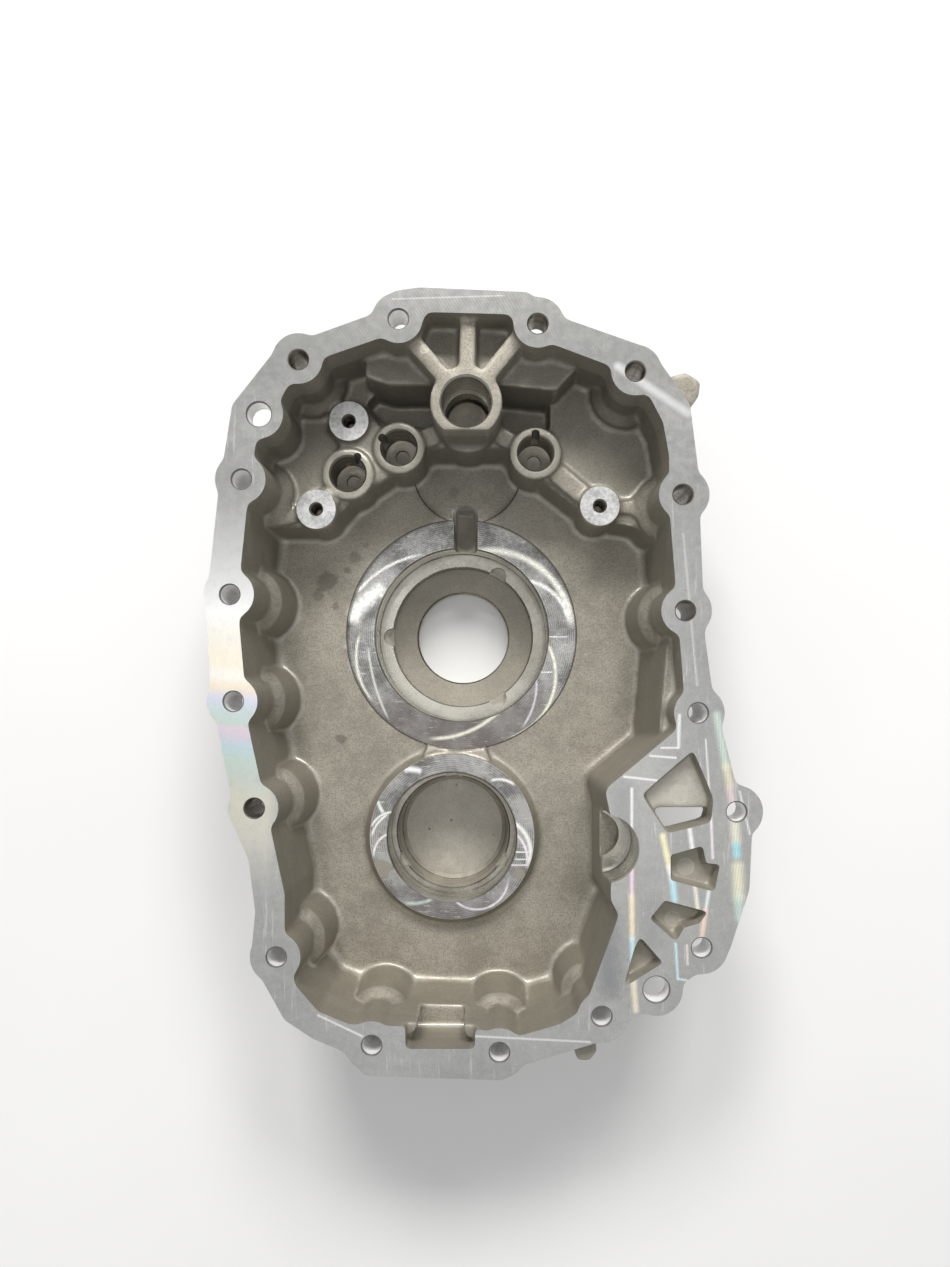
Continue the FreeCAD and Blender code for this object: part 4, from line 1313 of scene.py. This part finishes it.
@dataclass
class FlangeHoles(Feature):
    """The bolt and dowel holes of the joint flange, drilled by one node tree."""

    bright_bolts: tuple[Point, ...] = (
        (-93.0, 63.5), (-98.0, 14.0), (-96.5, -32.0), (-78.0, -142.0), (-37.0, -180.0), (18.0, -183.0),
        (62.0, -167.5), (103.5, -37.0), (-25.5, 132.5), (105.0, -138.0), (120.0, -79.5),
    )
    dark_bolts: tuple[Point, ...] = (
        (-68.5, 115.0), (-87.5, -78.0), (98.0, 7.0), (97.0, 57.0), (76.5, 110.0), (34.5, 130.5),
    )
    dowels: tuple[tuple[float, float, float], ...] = ((-85.5, 91.5, 5.2), (85.5, -156.0, 5.6))
    radius: float = 4.2
    lead_in: float = 0.5
    low_z: float = 26.0
    overshoot: float = 0.006
    bolt_stock_z: float = 44.0
    dowel_stock_z: float = 52.0
    steps: int = 40

    def stock(self, solid: Solid) -> None:
        """Add the metal that is cut away later.

        Args:
            solid: the solid of the blank.
        """
        rows = [(x, y, self.radius, self.bolt_stock_z) for x, y in self.bright_bolts + self.dark_bolts]
        rows += [(x, y, radius, self.dowel_stock_z) for x, y, radius in self.dowels]
        for x, y, radius, low in rows:
            solid.post((x, y), radius + 1.5, low, JOINT_Z + 2.0, steps=COARSE)

    def _tree(self) -> bpy.types.NodeTree:
        """Make the node tree that stands one drill on each point.

        Returns:
            The tree.
        """
        tree = bpy.data.node_groups.new("flange_drills", "GeometryNodeTree")
        face = tree.interface
        face.new_socket("Geometry", in_out="INPUT", socket_type="NodeSocketGeometry")
        for name in ("Lead In", "Low Z", "Face Z"):
            face.new_socket(name, in_out="INPUT", socket_type="NodeSocketFloat")
        face.new_socket("Steps", in_out="INPUT", socket_type="NodeSocketInt")
        face.new_socket("Finish", in_out="INPUT", socket_type="NodeSocketMaterial")
        face.new_socket("Geometry", in_out="OUTPUT", socket_type="NodeSocketGeometry")
        make = TreeMaker(tree)
        source = tree.nodes.new("NodeGroupInput").outputs
        lead, low_z, face_z = (Num(make, source[name]) for name in ("Lead In", "Low Z", "Face Z"))
        sizes = {"Vertices": source["Steps"], "Side Segments": 3, "Radius": 1.0, "Depth": 3.0}
        cylinder = make.node("GeometryNodeMeshCylinder", {}, sizes, "Mesh")
        points = {"Points": source["Geometry"], "Instance": cylinder}
        drills = make.node("GeometryNodeInstanceOnPoints", {}, points)
        drills = make.node("GeometryNodeRealizeInstances", {}, (drills,))
        kind = "GeometryNodeInputNamedAttribute"
        radius = Num(make, make.node(kind, {"data_type": "FLOAT"}, {"Name": "radius"}))
        centre = make.node(kind, {"data_type": "FLOAT_VECTOR"}, {"Name": "centre"})
        place = make.node("GeometryNodeInputPosition", {}, ())
        x, y, level = make.parts(make.vector("SUBTRACT", place, centre))
        above = level.above(0.0)
        reach = radius + above * lead
        height = face_z + level.above(1.0) * self.overshoot - (1.0 - above) * lead
        height = height - level.below(-1.0) * (face_z - low_z)
        shaped = make.node("ShaderNodeCombineXYZ", {}, (x * reach, y * reach, height))
        moves = {"Geometry": drills, "Position": make.vector("ADD", shaped, centre)}
        drills = make.node("GeometryNodeSetPosition", {}, moves)
        paint = {"Geometry": drills, "Material": source["Finish"]}
        drills = make.node("GeometryNodeSetMaterial", {}, paint)
        tree.links.new(drills, tree.nodes.new("NodeGroupOutput").inputs[0])
        return tree

    def bright_drills(self, finish: bpy.types.Material) -> bpy.types.Object:
        """Return the drills of the clean holes and the dowel holes."""
        rows = [(x, y, self.radius) for x, y in self.bright_bolts] + list(self.dowels)
        return self._drills(rows, finish)

    def dark_drills(self, finish: bpy.types.Material) -> bpy.types.Object:
        """Return the drills of the holes whose walls are stained."""
        return self._drills([(x, y, self.radius) for x, y in self.dark_bolts], finish)

    def _drills(self, rows: Sequence[tuple[float, float, float]],
                finish: bpy.types.Material) -> bpy.types.Object:
        """Make one drill for each row.

        Args:
            rows: the x, y and radius of each hole.
            finish: the material that the drills leave on the walls they cut.

        Returns:
            One object with all the drills.
        """
        mesh = bpy.data.meshes.new("drill_points")
        mesh.from_pydata([(x * MM, y * MM, 0.0) for x, y, _ in rows], [], [])
        radii = mesh.attributes.new("radius", "FLOAT", "POINT")
        centres = mesh.attributes.new("centre", "FLOAT_VECTOR", "POINT")
        for index, (x, y, radius) in enumerate(rows):
            radii.data[index].value = radius * MM
            centres.data[index].vector = (x * MM, y * MM, 0.0)
        holder = new_object("drill_points", mesh)
        tree = self._tree()
        modifier = holder.modifiers.new("Drills", "NODES")
        modifier.node_group = tree
        values = {"Lead In": self.lead_in * MM, "Low Z": self.low_z * MM, "Face Z": JOINT_Z * MM,
                  "Steps": self.steps, "Finish": finish}
        for item in tree.interface.items_tree:
            if item.in_out == "INPUT" and item.name in values:
                modifier[item.identifier] = values[item.name]
        return applied(holder, "flange_drills")


@dataclass
class Casting:
    """The whole housing: a cast blank, rounded all over, and the cuts that finish it."""

    node: str = "tail_housing"
    stock_height: float = 3.0
    voxel: float = 0.9
    soften: int = 9
    triangles: int = 150000
    sharp_angle: float = 28.0
    lower_seat: LowerSeat = field(default_factory=LowerSeat)
    holes: FlangeHoles = field(default_factory=FlangeHoles)

    def features(self) -> list[Feature]:
        """Return everything that is machined or cored, in the order of the work."""
        return [MainSeat(), self.lower_seat, RailBosses(), Pads(), Recess(), ReliefPockets(), self.holes]

    def materials(self) -> list[bpy.types.Material]:
        """Make every material.

        Returns:
            The materials in the order of the finishes.
        """
        patches = (Stain(-33.6, -15.0, 4.6, 0.95), Stain(32.4, -17.9, 2.6, 0.95))
        seat = BoredWall("seat_wall", (0.62, 0.60, 0.54), (0.24, 0.225, 0.19), (0.18, 0.30))
        # Painted shade: a dark copy of the bored wall for the rail bores, tapped holes, the top boss bore's
        # bottom and the dark bolt holes.
        rail = BoredWall("shaded_bore_wall", (0.36, 0.335, 0.285), (0.13, 0.118, 0.095))
        # Painted light: near-white walls, so the holes read as light seen through them, with a painted shade
        # band at their top.
        drilled = BoredWall("lit_hole_wall", (0.97, 0.97, 0.96), (0.90, 0.90, 0.89), (0.3, 0.5), 0.1, 0.9)
        return [
            CastSkin().material(),
            MilledFace().material(),
            TurnedFace("main_ring_face", (0.0, 0.0), MAIN_ARCS).material(),
            TurnedFace("lower_ring_face", self.lower_seat.centre, LOWER_ARCS, patches).material(),
            seat.material(),
            PadFace().material(),
            rail.material(),
            drilled.material(),
        ]

    def blank(self, finishes: list[bpy.types.Material]) -> bpy.types.Object:
        """Make the casting before any cut, with every edge rounded.

        Args:
            finishes: the materials in the order of the finishes.

        Returns:
            The blank.
        """
        solid = Solid()
        shape = solid.shape
        shape.from_mesh(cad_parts[self.node].data)
        bmesh.ops.remove_doubles(shape, verts=shape.verts, dist=1e-6)
        for vertex in shape.verts:
            if vertex.co.z > (JOINT_Z - 0.01) * MM:
                vertex.co.z += self.stock_height * MM
            elif vertex.co.z < (REAR_Z + 0.01) * MM:
                vertex.co.z -= self.stock_height * MM
        for face in shape.faces:
            face.material_index = Finish.CAST.value
        for feature in self.features():
            feature.stock(solid)
        rough = solid.finish("blank", finishes)
        skin = rough.modifiers.new("Skin", "REMESH")
        skin.mode = "VOXEL"
        skin.voxel_size = self.voxel * MM
        smooth = rough.modifiers.new("Round", "SMOOTH")
        smooth.factor = 0.5
        smooth.iterations = self.soften
        blank = applied(rough, "blank")
        faces = sum(len(face.vertices) - 2 for face in blank.data.polygons)
        LOG.info("blank has %d triangles", faces)
        thin = blank.modifiers.new("Thin", "DECIMATE")
        thin.ratio = min(1.0, self.triangles / faces)
        blank = applied(blank, "blank")
        blank.data.materials.clear()
        for finish in finishes:
            blank.data.materials.append(finish)
        return blank

    def cuts(self, finishes: list[bpy.types.Material]) -> list[bpy.types.Object]:
        """Make the cutting tools.

        Args:
            finishes: the materials in the order of the finishes.

        Returns:
            One object for each operation, in the order of the work.
        """
        facing = Solid().prism(rectangle(-140, -220, 160, 170), JOINT_Z, JOINT_Z + 20, Finish.MILLED)
        facing.prism(rectangle(-60, -60, 60, 60), REAR_Z - 20, REAR_Z, Finish.PAD)
        boring, coring = Solid(), Solid()
        for feature in self.features():
            feature.cut(boring)
            feature.core(coring)
        return [
            facing.finish("facing_cut", finishes),
            boring.finish("boring_cut", finishes),
            coring.finish("coring_cut", finishes),
            self.holes.bright_drills(finishes[Finish.LIT_HOLE.value]),
            self.holes.dark_drills(finishes[Finish.SHADED_BORE.value]),
        ]

    def build(self) -> bpy.types.Object:
        """Cast, cut and dress the housing.

        Returns:
            The finished piece.
        """
        finishes = self.materials()
        housing = self.blank(finishes)
        for tool in self.cuts(finishes):
            cut = housing.modifiers.new("Cut", "BOOLEAN")
            cut.operation = "DIFFERENCE"
            cut.solver = "MANIFOLD"
            cut.material_mode = "TRANSFER"
            cut.object = tool
            housing = applied(housing, "housing")
            LOG.info("%s leaves %d faces", tool.name, len(housing.data.polygons))
            bpy.data.objects.remove(tool)
        mesh = housing.data
        paint_bends(mesh)
        mesh.shade_smooth()
        mesh.set_sharp_from_angle(angle=math.radians(self.sharp_angle))
        housing.name = "housing_casting"
        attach(housing, "root")
        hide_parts(self.node)
        return housing


@dataclass(frozen=True)
class Lamp:
    """A square lamp: where it hangs and its side in metres, and its power in watts."""

    name: str
    place: tuple[float, float, float]
    size: float
    power: float
    colour: Colour = WHITE


@dataclass
class Studio:
    """The pale floor, the soft light and the camera over the open side of the housing."""

    floor_z: float = REAR_Z
    eye: tuple[float, float, float] = (13.5, -26.7, 474.8)
    focal_px: float = 960.0
    frame_px: tuple[int, int] = (950, 1267)
    nadir_px: tuple[float, float] = (489.0, 689.0)
    sensor_mm: float = 36.0
    aim: tuple[float, float, float] = (0.0, -0.03, 0.03)
    sky: float = 0.46
    sky_colour: Colour = (0.98, 0.985, 1.0)
    lamps: tuple[Lamp, ...] = (
        Lamp("key_left", (-0.36, 1.60, 1.5), 0.55, 25.0, (1.0, 0.985, 0.96)),
        Lamp("key_right", (0.44, 1.55, 1.5), 0.55, 22.0, (1.0, 0.99, 0.97)),
        Lamp("overhead", (0.05, -0.30, 2.3), 1.3, 3.4, (1.0, 0.995, 0.98)),
        Lamp("flange_glint", (-0.49, 0.09, 1.5), 0.22, 0.35, (1.0, 0.99, 0.97)),
        Lamp("ring_glint_left", (-0.23, 0.19, 1.5), 0.07, 0.12),
        Lamp("ring_glint_right", (0.165, 0.126, 1.5), 0.07, 0.10),
    )

    def floor(self) -> bpy.types.Object:
        """Lay the pale floor.

        Returns:
            The floor.
        """
        solid = Solid().prism(rectangle(-3000, -3000, 3000, 3000), self.floor_z - 20, self.floor_z)
        make = Maker("pale_floor")
        cloud = make.noise(3.0, 2.0)
        colour = make.mix(cloud.ramp(0.3, 0.7), (0.86, 0.86, 0.855), (0.90, 0.90, 0.895))
        material = make.close(colour, 0.85, 0.0, None)
        floor = solid.finish("floor", [material])
        return floor

    def camera(self) -> bpy.types.Object:
        """Hang the camera, looking straight down with the photograph's framing.

        Returns:
            The camera.
        """
        data = bpy.data.cameras.new("camera")
        width, height = self.frame_px
        data.sensor_fit = "AUTO"
        data.sensor_width = self.sensor_mm
        data.lens = self.focal_px / height * self.sensor_mm
        data.shift_x = (width / 2 - self.nadir_px[0]) / height
        data.shift_y = (self.nadir_px[1] - height / 2) / height
        data.clip_end = 20.0
        camera = bpy.data.objects.new("camera", data)
        camera.location = Vector(self.eye) * MM
        bpy.context.scene.collection.objects.link(camera)
        bpy.context.scene.camera = camera
        return camera

    def light(self, lamp: Lamp) -> None:
        """Hang one square lamp that faces the housing.

        Args:
            lamp: its place, size, power and colour.
        """
        data = bpy.data.lights.new(lamp.name, "AREA")
        data.size = lamp.size
        data.energy = lamp.power
        data.color = lamp.colour
        made = bpy.data.objects.new(lamp.name, data)
        made.location = lamp.place
        aim = Vector(self.aim) - Vector(lamp.place)
        made.rotation_euler = aim.to_track_quat("-Z", "Y").to_euler()
        bpy.context.scene.collection.objects.link(made)

    def build(self) -> None:
        """Set up the floor, the lamps, the world and the camera."""
        self.floor()
        self.camera()
        for lamp in self.lamps:
            self.light(lamp)
        world = bpy.data.worlds.new("studio")
        world.use_nodes = True
        background = world.node_tree.nodes["Background"]
        background.inputs["Color"].default_value = (*self.sky_colour, 1.0)
        background.inputs["Strength"].default_value = self.sky
        bpy.context.scene.world = world
        bpy.context.scene.view_settings.view_transform = "Standard"


def main() -> None:
    """Build the studio and the housing, and write down both boxes."""
    logging.basicConfig(level=logging.INFO, format="%(name)s: %(message)s", stream=sys.stdout)
    Studio().build()
    LOG.info("studio is ready")
    housing = Casting().build()
    LOG.info("%s has %d faces", housing.name, len(housing.data.polygons))


if __name__ == "__main__":
    main()
